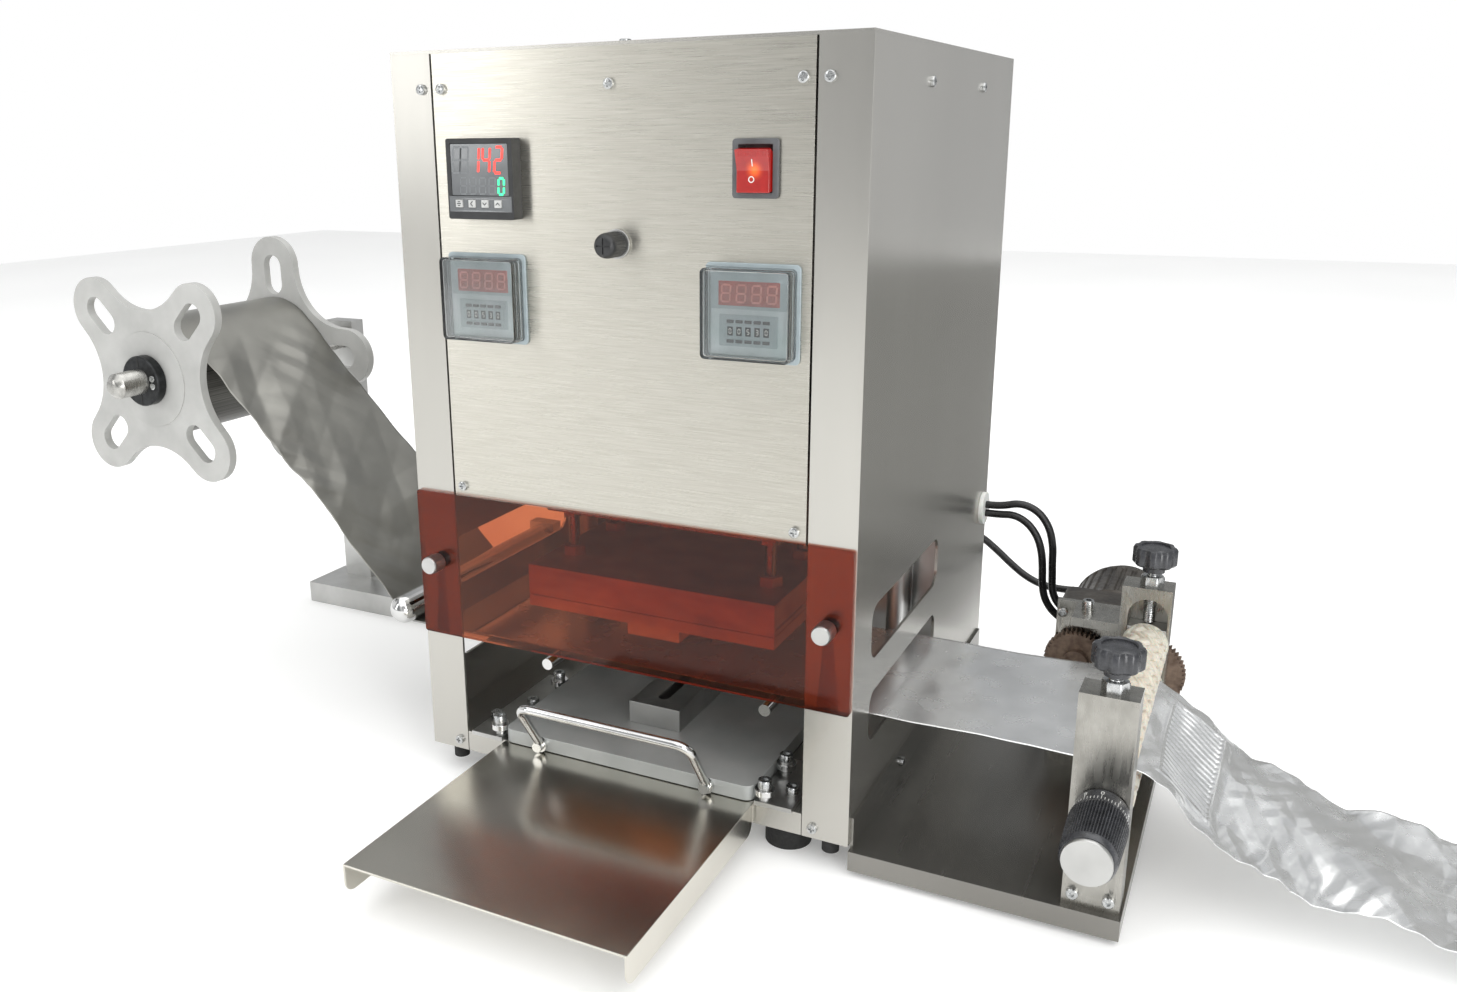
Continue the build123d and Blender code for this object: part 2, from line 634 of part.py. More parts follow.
for side, name in ((-1, "left"), (1, "right")):
    with BuildPart() as timer_cover:
        with BuildSketch(Plane.XZ.offset(-cover_back)):
            with Locations((side * timer_x, timer_z)):
                RectangleRounded(cover_size[0], cover_size[1], 3)
        extrude(amount=cover_size[2])
        with BuildSketch(Plane.XZ.offset(-cover_back)):
            with Locations((side * timer_x, timer_z)):
                RectangleRounded(cover_size[0] - 2 * cover_wall, cover_size[1] - 2 * cover_wall, 2)
        extrude(amount=cover_size[2] - cover_wall, mode=Mode.SUBTRACT)
    timer_cover.part.label = f"timer_cover_{name}"
    export_step(timer_cover.part, f"parts/timer_cover_{name}.step")

bezel_w, bezel_h, bezel_t = rocker_bezel_size
cap_hole = (rocker_cap_size[0] / 2 + 0.4, rocker_cap_size[1] / 2 + 1.0)
with BuildPart() as rocker_bezel:
    with BuildSketch(Plane.XZ.offset(-front)):
        with Locations((rocker_x, rocker_z)):
            RectangleRounded(bezel_w, bezel_h, 2)
    extrude(amount=bezel_t)
    block((rocker_x - bezel_w / 2 + 2.7, front, rocker_z - bezel_h / 2 + 2.2),
          (rocker_x + bezel_w / 2 - 2.7, front + 22, rocker_z + bezel_h / 2 - 2.2))
    block((rocker_x - cap_hole[0], front - bezel_t, rocker_z - cap_hole[1]),
          (rocker_x + cap_hole[0], front + 8, rocker_z + cap_hole[1]), mode=Mode.SUBTRACT)
rocker_bezel.part.label = "rocker_bezel"
export_step(rocker_bezel.part, "parts/rocker_bezel.step")

rocker_pivot = front + 2.0
cap_half = rocker_cap_size[1] / 2
tilt = math.radians(rocker_tilt)
cap_profile = [(-9.5, cap_half), (-7.6, 0), (-9.5, -cap_half), (-4.5, -cap_half), (2.5, -6), (2.5, 6),
               (-4.5, cap_half)]
tilted = [(rocker_pivot + y * math.cos(tilt) - z * math.sin(tilt),
           rocker_z + y * math.sin(tilt) + z * math.cos(tilt)) for y, z in cap_profile]
with BuildPart() as rocker_cap:
    with BuildSketch(Plane.YZ.offset(rocker_x)):
        with BuildLine():
            Polyline(*tilted, close=True)
        make_face()
    extrude(amount=rocker_cap_size[0] / 2, both=True)
rocker_cap.part.label = "rocker_cap"
export_step(rocker_cap.part, "parts/rocker_cap.step")

with BuildPart() as fuse_holder:
    bar((fuse_x, front, fuse_z), (0, -1, 0), 8.75, 2)
    bar((fuse_x, front, fuse_z), (0, 1, 0), 6.1, 30)
    bar((fuse_x, front - 2, fuse_z), (0, 1, 0), 4.2, 22, mode=Mode.SUBTRACT)
fuse_holder.part.label = "fuse_holder"
export_step(fuse_holder.part, "parts/fuse_holder.step")

with BuildPart() as fuse_cap:
    bar((fuse_x, front - 2.1, fuse_z), (0, -1, 0), 7.5, 15.9)
    bar((fuse_x, front - 2.1, fuse_z), (0, 1, 0), 4.15, 18)
    fillet(fuse_cap.edges().sort_by(Axis.Y)[0], 1.2)
fuse_cap.part.label = "fuse_cap"
export_step(fuse_cap.part, "parts/fuse_cap.step")

# ---- Unwind reel and guide roller ---------------------------------------------------------------
stand_y = (film_rear + stand_back[0], film_rear + stand_back[1])
flange_faces = ((film_front - flange_gap, -1, 45.0), (film_rear + flange_gap, 1, 0.0))
lobe_at = flange_tip - flange_lobe_r
slot_mid = 68.0
neck_r = 50.0                  # nearly tangent to the lobes' sides
web_half = ((flange_waist + neck_r) * math.sqrt(0.5) + flange_lobe_r + 0.4) * math.sqrt(0.5)
shaft_front = film_front - 44
shaft_step = stand_y[0] - 0.3

with BuildPart() as reel_flanges:
    for face_y, away, turn in flange_faces:
        low = face_y if away > 0 else face_y - flange_thick
        with BuildSketch(Plane(origin=(reel_x, low, reel_z), x_dir=(1, 0, 0), z_dir=(0, -1, 0))):
            Rectangle(2 * web_half, 2 * web_half, rotation=turn + 45)
            for k in range(4):
                angle = math.radians(turn + 90 * k)
                with Locations((lobe_at * math.cos(angle), lobe_at * math.sin(angle))):
                    Circle(flange_lobe_r)
                with Locations((lobe_at / 2 * math.cos(angle), lobe_at / 2 * math.sin(angle))):
                    Rectangle(lobe_at, 2 * flange_lobe_r, rotation=turn + 90 * k)
                gap = math.radians(turn + 45 + 90 * k)
                reach = flange_waist + neck_r
                with Locations((reach * math.cos(gap), reach * math.sin(gap))):
                    Circle(neck_r, mode=Mode.SUBTRACT)
            for k in range(4):
                angle = math.radians(turn + 90 * k)
                with Locations((slot_mid * math.cos(angle), slot_mid * math.sin(angle))):
                    SlotOverall(34, 19, rotation=turn + 90 * k, mode=Mode.SUBTRACT)
            Circle(shaft_r + 0.1, mode=Mode.SUBTRACT)
        extrude(amount=-flange_thick)
        ring((reel_x, face_y, reel_z), (0, -away, 0), core_r - 0.4, shaft_r + 0.1, 8)
        outer = face_y + away * flange_thick
        ring((reel_x, outer, reel_z), (0, away, 0), core_r, shaft_r + 0.1, 0.8)
reel_flanges.part.label = "reel_flanges"
export_step(reel_flanges.part, "parts/reel_flanges.step")

with BuildPart() as film_roll:
    ring((reel_x, film_front, reel_z), (0, 1, 0), roll_r, core_r, film_width)
film_roll.part.label = "film_roll"
export_step(film_roll.part, "parts/film_roll.step")

collar_off = flange_gap + flange_thick + 1.0
with BuildPart() as reel_shaft:
    bar((reel_x, shaft_front, reel_z), (0, 1, 0), shaft_r, shaft_step - shaft_front)
    chamfer(reel_shaft.edges().sort_by(Axis.Y)[0], 4)
    bar((reel_x, shaft_step, reel_z), (0, 1, 0), journal_r, stand_y[1] + 0.3 - shaft_step)
    bar((reel_x, stand_y[1] + 0.3, reel_z), (0, 1, 0), 10, 8)
    bar((reel_x, film_front - collar_off, reel_z), (0, -1, 0), collar_r, collar_thick)
    bar((reel_x, film_rear + collar_off, reel_z), (0, 1, 0), collar_r, collar_thick)
reel_shaft.part.label = "reel_shaft"
export_step(reel_shaft.part, "parts/reel_shaft.step")

bar_y = (film_rear + 43, film_rear + 95)
guide_post_y = (film_rear + 48, film_rear + 60)
stand_top = reel_z + 17
bar_high = 20.0
guide_journal_r = 5.0
with BuildPart() as reel_stand:
    block((reel_x - 31, bar_y[0], 0), (-half_w, bar_y[1], bar_high))
    block((reel_x - 14, stand_y[0], bar_high), (reel_x + 17, stand_y[1], stand_top))
    block((guide_x - 12, guide_post_y[0], bar_high), (guide_x + 12, guide_post_y[1], guide_z + 12))
    bar((reel_x, stand_y[0], reel_z), (0, 1, 0), journal_r + running, stand_y[1] - stand_y[0],
        mode=Mode.SUBTRACT)
    bar((guide_x, guide_post_y[0], guide_z), (0, 1, 0), guide_journal_r + running,
        guide_post_y[1] - guide_post_y[0], mode=Mode.SUBTRACT)
reel_stand.part.label = "reel_stand"
export_step(reel_stand.part, "parts/reel_stand.step")

guide_front = film_front - 6.0
guide_end = guide_post_y[0] - 0.3
with BuildPart() as guide_roller:
    bar((guide_x, guide_front, guide_z), (0, 1, 0), guide_r, guide_end - guide_front)
    with Locations((guide_x, guide_front, guide_z)):
        Sphere(guide_r)
    bar((guide_x, guide_end, guide_z), (0, 1, 0), guide_journal_r, guide_post_y[1] + 0.3 - guide_end)
    bar((guide_x, guide_post_y[1] + 0.3, guide_z), (0, 1, 0), 8, 5)
guide_roller.part.label = "guide_roller"
export_step(guide_roller.part, "parts/guide_roller.step")

# ---- Film web -----------------------------------------------------------------------------------
wrap_roll = roll_r + film_clear + film_thick / 2
span = Vector(guide_x - reel_x, guide_z - reel_z)
lean = math.asin((wrap_roll + guide_wrap) / span.length)
slope = math.atan2(span.Y, span.X) - lean
normal = (-math.sin(slope), math.cos(slope))
leave = (reel_x + wrap_roll * normal[0], reel_z + wrap_roll * normal[1])
meet = (guide_x - guide_wrap * normal[0], guide_z - guide_wrap * normal[1])
wrap_mid = (guide_x + guide_wrap * math.cos(slope / 2 - math.pi / 2),
            guide_z + guide_wrap * math.sin(slope / 2 - math.pi / 2))
tail_steps = [(0, film_height), (19.5, 88.5), (58.5, 60), (106.5, 39), (142.5, 33), (157.5, 29),
              (189.5, 20), (213.5, 7), (231.5, 1.5)]
tail = [(nip_x + step, z) for step, z in tail_steps]

with BuildPart() as film_web:
    with BuildSketch(Plane(origin=(0, film_rear, 0), x_dir=(1, 0, 0), z_dir=(0, -1, 0))):
        with BuildLine():
            Line(leave, meet)
            ThreePointArc(meet, wrap_mid, (guide_x, film_height))
            Line((guide_x, film_height), tail[0])
            Spline(*tail, tangents=((1, 0), (1, -0.1)))
        trace(line_width=film_thick)
    extrude(amount=film_width)
film_web.part.label = "film_web"
export_step(film_web.part, "parts/film_web.step")

# ---- Side table, nip rollers and drive ----------------------------------------------------------
with BuildPart() as side_table:
    block((table_x[0], front, table_top - sheet), (table_x[1], rear, table_top))
    block((table_x[0], front, 4), (table_x[1], panel_back, table_top))
    block((table_x[1] - sheet, front, 4), (table_x[1], rear, table_top))
    block((table_x[0], front + 4, table_top - sheet), (table_x[0] + sheet, rear - 4, 38))
    for y, z in table_screws:
        bar((half_w - 1, y, z), (1, 0, 0), screw_hole, 2 * sheet, mode=Mode.SUBTRACT)
side_table.part.label = "side_table"
export_step(side_table.part, "parts/side_table.step")

with BuildPart() as nip_blocks:
    for face, away in ((nip_front, 1), (nip_rear, -1)):
        inner = face + away * nip_block_thick
        middle = face + away * nip_block_thick / 2
        block((nip_block_x[0], face, table_top), (nip_block_x[1], inner, nip_block_top))
        block((nip_x - pocket_width / 2, inner - away * pocket_depth, pocket_z[0]),
              (nip_x + pocket_width / 2, inner, pocket_z[1] - pocket_width / 2), mode=Mode.SUBTRACT)
        bar((nip_x, inner, pocket_z[1] - pocket_width / 2), (0, -away, 0), pocket_width / 2,
            pocket_depth, mode=Mode.SUBTRACT)
        bar((nip_x, middle, pocket_z[1] - 8), (0, 0, 1), screw_r + running, 20, mode=Mode.SUBTRACT)
        bar((nip_x, face - away, nip_low_z), (0, away, 0), journal_r + running, nip_block_thick + 2,
            mode=Mode.SUBTRACT)
    for x in nip_screw_x:
        bar((x, nip_front, nip_screw_z), (0, 1, 0), screw_hole, 8.5, mode=Mode.SUBTRACT)
nip_blocks.part.label = "nip_blocks"
export_step(nip_blocks.part, "parts/nip_blocks.step")

inner_front = nip_front + nip_block_thick
inner_rear = nip_rear - nip_block_thick
knob_back = nip_front - 0.4
roller_gap = 0.5
with BuildPart() as drive_roller:
    bar((nip_x, inner_front + roller_gap, nip_low_z), (0, 1, 0), nip_r,
        inner_rear - inner_front - 2 * roller_gap)
    bar((nip_x, knob_back - 10, nip_low_z), (0, 1, 0), journal_r, gear_y[1] + 2 - knob_back + 10)
drive_roller.part.label = "drive_roller"
export_step(drive_roller.part, "parts/drive_roller.step")

scale_ring = (15.0, 12.0)      # radius and length of the numbered ring, the grip and its end disc
dial_grip = (16.0, 40.0)
end_disc = (13.5, 2.0)
grip_back = knob_back - scale_ring[1]
with BuildPart() as dial_knob:
    bar((nip_x, knob_back, nip_low_z), (0, -1, 0), *scale_ring)
    bar((nip_x, knob_back, nip_low_z), (0, -1, 0), journal_r, 10, mode=Mode.SUBTRACT)
    bar((nip_x, grip_back, nip_low_z), (0, -1, 0), *dial_grip)
    bar((nip_x, grip_back - dial_grip[1], nip_low_z), (0, -1, 0), *end_disc)
dial_knob.part.label = "dial_knob"
export_step(dial_knob.part, "parts/dial_knob.step")

gear_plane = Plane(origin=(nip_x, gear_y[0], nip_low_z), x_dir=(1, 0, 0), z_dir=(0, -1, 0))
with BuildPart() as roller_gear:
    with BuildSketch(gear_plane):
        with BuildLine():
            Polyline(*gear_outline(roller_teeth, gear_module, math.pi + math.pi / roller_teeth),
                     close=True)
        make_face()
        Circle(journal_r + 0.03, mode=Mode.SUBTRACT)
    extrude(amount=-(gear_y[1] - gear_y[0]))
roller_gear.part.label = "roller_gear"
export_step(roller_gear.part, "parts/roller_gear.step")

pinion_plane = Plane(origin=(pinion_x, gear_y[0], nip_low_z), x_dir=(1, 0, 0), z_dir=(0, -1, 0))
with BuildPart() as pinion_gear:
    with BuildSketch(pinion_plane):
        with BuildLine():
            Polyline(*gear_outline(pinion_teeth, gear_module, 0.0), close=True)
        make_face()
    extrude(amount=-(gear_y[1] - gear_y[0]))
    bar((pinion_x, gear_y[0], nip_low_z), (0, -1, 0), 9, 5)
    bar((pinion_x, gear_y[1], nip_low_z), (0, 1, 0), journal_r, 20)
pinion_gear.part.label = "pinion_gear"
export_step(pinion_gear.part, "parts/pinion_gear.step")

pressure_journal = 5.0
slider_half = pocket_width / 2 - slider_gap
slider_high = 11.0
with BuildPart() as pressure_roller:
    bar((nip_x, inner_front + roller_gap, nip_high_z), (0, 1, 0), nip_r,
        inner_rear - inner_front - 2 * roller_gap)
    bar((nip_x, inner_front - pocket_depth + 1, nip_high_z), (0, 1, 0), pressure_journal,
        inner_rear - inner_front + 2 * pocket_depth - 2)
pressure_roller.part.label = "pressure_roller"
export_step(pressure_roller.part, "parts/pressure_roller.step")

with BuildPart() as bearing_sliders:
    for inner, away in ((inner_front, 1), (inner_rear, -1)):
        block((nip_x - slider_half, inner, nip_high_z - slider_high),
              (nip_x + slider_half, inner - away * (pocket_depth - slider_gap),
               nip_high_z + slider_high))
        bar((nip_x, inner + away, nip_high_z), (0, -away, 0), pressure_journal + running,
            pocket_depth + 2, mode=Mode.SUBTRACT)
bearing_sliders.part.label = "bearing_sliders"
export_step(bearing_sliders.part, "parts/bearing_sliders.step")

screw_tip = nip_high_z + slider_high + lift_travel + 0.3
for y, name in ((front_block_mid, "front"), (rear_block_mid, "rear")):
    with BuildPart() as star_knob:
        bar((nip_x, y, screw_tip), (0, 0, 1), screw_r, star_z - screw_tip)
        bar((nip_x, y, star_z - 4), (0, 0, 1), 7, 4)
        with BuildSketch(Plane.XY.offset(star_z)):
            with Locations((nip_x, y)):
                Circle(star_r - 1.2)
            for k in range(8):
                angle = math.radians(45 * k)
                with Locations((nip_x + (star_r - 4) * math.cos(angle),
                                y + (star_r - 4) * math.sin(angle))):
                    Circle(4)
        extrude(amount=14)
    star_knob.part.label = f"star_knob_{name}"
    export_step(star_knob.part, f"parts/star_knob_{name}.step")

head_box = ((nip_x - 62.5, 47.0), (nip_x + 6.5, 117.0))
motor_axis = (nip_x - 28.5, 82.0)
head_y = (bracket_y + bracket_thick, bracket_y + 37)
motor_y = (head_y[1], head_y[1] + 62, head_y[1] + 80)
motor_r = 36.0
gland_y = motor_y[2] - 9
motor_glands = ((nip_x - 56.5, 67.6), (nip_x - 49.5, 58.0))

with BuildPart() as drive_bracket:
    block((head_box[0][0], bracket_y, table_top), (nip_x + 5.5, bracket_y + bracket_thick, arm_z[1]))
    block((nip_x - 48.5, inner_rear + 1, arm_z[0]), (nip_block_x[0], bracket_y, arm_z[1]))
    bar((pinion_x, bracket_y - 1, nip_low_z), (0, 1, 0), 9, bracket_thick + 2, mode=Mode.SUBTRACT)
    bar((nip_x, bracket_y - 1, nip_low_z), (0, 1, 0), 7, bracket_thick + 2, mode=Mode.SUBTRACT)
    bar(arm_screw, (0, 0, -1), screw_hole, 5, mode=Mode.SUBTRACT)
    bar(plate_screw, (0, 1, 0), screw_hole, 4.5, mode=Mode.SUBTRACT)
drive_bracket.part.label = "drive_bracket"
export_step(drive_bracket.part, "parts/drive_bracket.step")

with BuildPart() as gearhead:
    with BuildSketch(Plane.XZ.offset(-head_y[0])):
        with Locations(((head_box[0][0] + head_box[1][0]) / 2, (head_box[0][1] + head_box[1][1]) / 2)):
            RectangleRounded(head_box[1][0] - head_box[0][0], head_box[1][1] - head_box[0][1], 5)
    extrude(amount=-(head_y[1] - head_y[0]))
    bar((pinion_x, head_y[0], nip_low_z), (0, 1, 0), journal_r + running, 15, mode=Mode.SUBTRACT)
gearhead.part.label = "gearhead"
export_step(gearhead.part, "parts/gearhead.step")

with BuildPart() as drive_motor:
    bar((motor_axis[0], motor_y[0], motor_axis[1]), (0, 1, 0), motor_r, motor_y[1] - motor_y[0])
    bar((motor_axis[0], motor_y[1], motor_axis[1]), (0, 1, 0), 30, motor_y[2] - motor_y[1])
    for x, z in motor_glands:
        bar((x, gland_y, z), (1, 0, 0), 4.5, 12)
        # room for the sheath beside the round cap
        bar((x, gland_y, z), (-1, 0, 0), cable_r, 2, mode=Mode.SUBTRACT)
drive_motor.part.label = "drive_motor"
export_step(drive_motor.part, "parts/drive_motor.step")

# ---- Rear connections and cables ----------------------------------------------------------------
with BuildPart() as mains_inlet:
    ix, iz = inlet_at
    block((ix - inlet_size[0] / 2 - 4, rear, iz - inlet_size[1] / 2 - 4),
          (ix + inlet_size[0] / 2 + 4, rear + 4, iz + inlet_size[1] / 2 + 4))
    block((ix - inlet_size[0] / 2 + 0.2, rear - 22, iz - inlet_size[1] / 2 + 0.2),
          (ix + inlet_size[0] / 2 - 0.2, rear, iz + inlet_size[1] / 2 - 0.2))
    block((ix - 11, rear - 14, iz - 7), (ix + 11, rear + 4, iz + 7), mode=Mode.SUBTRACT)
    for dx in (-7, 0, 7):
        block((ix + dx - 1, rear - 14, iz - 2), (ix + dx + 1, rear + 1, iz + 2))
mains_inlet.part.label = "mains_inlet"
export_step(mains_inlet.part, "parts/mains_inlet.step")

with BuildPart() as air_fitting:
    fx, fz = fitting_at
    with BuildSketch(Plane.XZ.offset(-rear)):
        with Locations((fx, fz)):
            RegularPolygon(radius=10, side_count=6)
    extrude(amount=-5)
    bar((fx, rear, fz), (0, -1, 0), fitting_r, 16)
    bar((fx, rear + 5, fz), (0, 1, 0), 6, 7)
    bar((fx, rear + 12, fz), (0, -1, 0), air_tube_r, 15, mode=Mode.SUBTRACT)
air_fitting.part.label = "air_fitting"
export_step(air_fitting.part, "parts/air_fitting.step")

with BuildPart() as grommet:
    bar((half_w, grommet_y, grommet_z), (1, 0, 0), 13, grommet_flange)
    bar((wall_in, grommet_y, grommet_z), (1, 0, 0), grommet_neck, sheet)
    bar((wall_in, grommet_y, grommet_z), (-1, 0, 0), 11.8, 3)
    gx, gz = rear_gland_at
    bar((gx, rear, gz), (0, 1, 0), 7, 4)
    bar((gx, rear, gz), (0, -1, 0), 4, 6)
grommet.part.label = "grommet"
export_step(grommet.part, "parts/grommet.step")

cable_face = half_w + grommet_flange
motor_route = [
    (cable_face, 154, 150.5), (171, 154, 150.5), (186, 155, 155), (200, 156, 150), (209.5, 156, 138),
    (213.5, 156, 122.5), (213.8, 156.5, 109), (214.6, 157, 96), (215.2, 156.5, 84), (221, 156, 73.5),
    (231.2, 156, 67.6), (242, 156, 67.6)]
inner_route = [
    (cable_face, 154, 143.5), (170.5, 154, 143.5), (182.5, 153.5, 145), (194, 152.5, 139.5),
    (202, 151.5, 129.5), (206, 151, 117.5), (207.5, 151, 104.5), (208, 151.5, 92), (210, 152, 80),
    (216, 153, 69.5), (225.5, 154.5, 62), (237.5, 156, 58), (249, 156, 58)]
rear_route = [
    (131, rear + 4, 114), (131, rear + 14, 114), (136, rear + 26, 113), (147, rear + 33, 107),
    (160, rear + 34, 97), (174, rear + 32, 86), (188, rear + 30, 77), (203, rear + 29, 72),
    (219, rear + 29, 71.5), (235, rear + 29, 73), (249, rear + 26, 75), (258, rear + 17, 76),
    (261, rear + 5, 76), (261, 165, 76)]
for name, route in (("motor_cable", motor_route), ("inner_cable", inner_route),
                    ("rear_cable", rear_route)):
    with BuildPart() as cable:
        with BuildLine() as route_line:
            FilletPolyline(*route, radius=cord_radii(route, 2 * cable_r))
        with BuildSketch(Plane(origin=route_line.line @ 0, z_dir=route_line.line % 0)):
            Circle(cable_r)
        sweep()
    length = sum(edge.length for edge in route_line.line.edges())
    print(name, "length", round(length, 1), "volume over section times length",
          round(cable.part.volume / (math.pi * cable_r ** 2 * length), 4))
    cable.part.label = name
    export_step(cable.part, f"parts/{name}.step")
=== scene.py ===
import json
import math

import bmesh
import bpy
import numpy as np
from mathutils import Matrix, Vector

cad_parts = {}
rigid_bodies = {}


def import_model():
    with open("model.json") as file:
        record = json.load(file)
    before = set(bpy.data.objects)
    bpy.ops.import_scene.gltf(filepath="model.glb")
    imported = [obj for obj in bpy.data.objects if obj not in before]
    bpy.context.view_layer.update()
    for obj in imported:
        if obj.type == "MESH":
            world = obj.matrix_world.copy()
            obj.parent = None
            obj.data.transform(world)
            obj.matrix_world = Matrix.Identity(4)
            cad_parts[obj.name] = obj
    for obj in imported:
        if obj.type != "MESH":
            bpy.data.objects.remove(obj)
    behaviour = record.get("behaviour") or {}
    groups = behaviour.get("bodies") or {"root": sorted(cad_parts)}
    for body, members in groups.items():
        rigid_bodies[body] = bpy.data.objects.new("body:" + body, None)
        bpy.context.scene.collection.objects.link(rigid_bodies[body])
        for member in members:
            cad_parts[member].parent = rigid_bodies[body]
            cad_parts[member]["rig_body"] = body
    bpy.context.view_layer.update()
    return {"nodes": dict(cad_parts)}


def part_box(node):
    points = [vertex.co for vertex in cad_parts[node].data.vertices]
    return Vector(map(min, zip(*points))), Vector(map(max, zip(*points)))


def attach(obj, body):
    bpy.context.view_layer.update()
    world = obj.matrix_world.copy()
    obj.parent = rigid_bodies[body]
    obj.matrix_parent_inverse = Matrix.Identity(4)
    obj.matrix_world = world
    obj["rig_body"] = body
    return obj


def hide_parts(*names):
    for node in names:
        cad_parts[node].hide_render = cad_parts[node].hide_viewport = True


# Looks of a benchtop film sealing press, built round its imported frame. Sizes are in millimetres
# until piece() and cable() turn them into metres. +X is right, -Y towards the operator, +Z up.

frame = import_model()
nodes = frame["nodes"]
MM = 0.001
RIGHT, BACK, UP = np.eye(3)
FRONT = -BACK


def unit(vector):
    """A vector of length one."""
    return np.array(vector, float) / np.linalg.norm(vector)


def box(node):
    """The lowest and highest corner of a CAD node, in millimetres."""
    return [np.array(corner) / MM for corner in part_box(node)]


def centre_of(node):
    """The middle of a CAD node's box, in millimetres."""
    low, high = box(node)
    return (low + high) / 2


# ---- Camera ---------------------------------------------------------------------------------------
looking = unit((-0.4446, 0.8551, -0.2667))
level_right = unit(np.cross(looking, UP))
level_up = np.cross(level_right, looking)
roll = math.radians(-0.72)
camera_x = level_right * math.cos(roll) + level_up * math.sin(roll)
camera_y = level_up * math.cos(roll) - level_right * math.sin(roll)
lens = bpy.data.cameras.new("camera")
lens.lens, lens.sensor_width = 30.32, 36.0
lens.shift_x, lens.shift_y = 0.0515, -0.0148
camera = bpy.data.objects.new("camera", lens)
bpy.context.scene.collection.objects.link(camera)
placed = np.eye(4)
placed[:3, :3] = np.stack([camera_x, camera_y, -looking], axis=1)
placed[:3, 3] = (0.35875, -0.81135, 0.44164)
camera.matrix_world = Matrix(placed.tolist())
bpy.context.scene.camera = camera


# ---- Shader helpers -------------------------------------------------------------------------------
def linear(code):
    """The linear colour of an sRGB hex code."""
    parts = [int(code[k:k + 2], 16) / 255 for k in (1, 3, 5)]
    return [p / 12.92 if p <= 0.04045 else ((p + 0.055) / 1.055) ** 2.4 for p in parts] + [1.0]


def add(tree, kind, inputs=None, **settings):
    """Adds a node with its settings, and fills its inputs with links or values."""
    node = tree.nodes.new("ShaderNode" + kind)
    for name, value in settings.items():
        setattr(node, name, value)
    for key, value in (inputs or {}).items():
        if isinstance(value, bpy.types.NodeSocket):
            tree.links.new(value, node.inputs[key])
        else:
            node.inputs[key].default_value = value
    return node


def grain(tree, size, detail=3.0, source="Object"):
    """A noise from 0 to 1 whose blotches are size millimetres long along each axis."""
    where = add(tree, "TexCoord").outputs[source]
    scaled = add(tree, "Mapping", {0: where, 3: [1000.0 / s for s in size]}).outputs[0]
    return add(tree, "TexNoise", {"Vector": scaled, "Scale": 1.0, "Detail": detail}).outputs["Fac"]


def reach(tree, value, low, high, start=0.3, end=0.7):
    """Stretches a value that runs from start to end so that it runs from low to high."""
    return add(tree, "MapRange", {0: value, 1: start, 2: end, 3: low, 4: high}).outputs[0]


def between(tree, share, first, second):
    """A colour between two, by a share from 0 to 1."""
    return add(tree, "Mix", {0: share, 6: first, 7: second}, data_type="RGBA").outputs[2]


def material(name, shades, blotch, rough, streak, relief=None, depth=0.0, along=None,
             source="Object", **sockets):
    """A finish whose colour wanders between two shades over blotches of one size in millimetres, and
    whose roughness wanders between two values over streaks of another. The relief is a noise of a
    third size, depth millimetres high, and along is the direction that a brushed gloss spreads in."""
    made = bpy.data.materials.new(name)
    made.use_nodes = True
    tree = made.node_tree
    shader = tree.nodes["Principled BSDF"]
    for socket, value in sockets.items():
        shader.inputs[socket.replace("_", " ")].default_value = value
    share = reach(tree, grain(tree, blotch, source=source), 0.0, 1.0)
    tree.links.new(between(tree, share, *map(linear, shades)), shader.inputs["Base Color"])
    tree.links.new(reach(tree, grain(tree, streak, source=source), *rough), shader.inputs["Roughness"])
    if relief:
        height = grain(tree, relief, source=source)
        bump = add(tree, "Bump", {"Height": height, "Distance": depth * MM})
        tree.links.new(bump.outputs[0], shader.inputs["Normal"])
    if along is not None:
        way = add(tree, "CombineXYZ", dict(enumerate(map(float, along))))
        tree.links.new(way.outputs[0], shader.inputs["Tangent"])
    return made


# ---- Finishes -------------------------------------------------------------------------------------
# Brushed stainless sheet: short strokes along X, so lamps spread into soft upright bands. Real
# strokes are finer; these are drawn 0.4 to 0.5 mm high so that they show.
panel_steel = material("brushed_stainless_panel", ("#B9B6AC", "#C8C5BC"), (22, 22, 0.4), (0.25, 0.35),
                       (30, 30, 0.5), (18, 18, 0.4), 0.003, UP, Metallic=1.0, Anisotropic=0.75)
# Cold rolled stainless sheet with a faint upright grain: smoother than the brushed panel.
side_steel = material("rolled_stainless_sheet", ("#B6B4AE", "#BDBBB5"), (60, 60, 300), (0.25, 0.27),
                      (5, 5, 240), None, 0.0, RIGHT + BACK, Metallic=0.9, Anisotropic=0.35)
# Polished stainless tray: a soft mirror with broad, slow clouds.
tray_steel = material("polished_stainless_tray", ("#C8C5BC", "#D4D1C8"), (160, 90, 90), (0.22, 0.26),
                      (60, 60, 60), None, 0.0, RIGHT, Metallic=1.0, Anisotropic=0.5)
# Stainless table top: smooth, and dark because it mirrors the underside of the film and blocks.
table_steel = material("mirror_stainless_table", ("#7F7D78", "#8B8984"), (120, 160, 60), (0.22, 0.28),
                       (8, 140, 60), Metallic=0.85)
# Satin machined aluminium: even, pale, with fine tool marks.
satin_aluminium = material("satin_machined_aluminium", ("#B2B2B0", "#C6C6C4"), (30, 30, 30),
                           (0.28, 0.42), (14, 0.5, 14), (9, 0.4, 9), 0.006, Metallic=1.0)
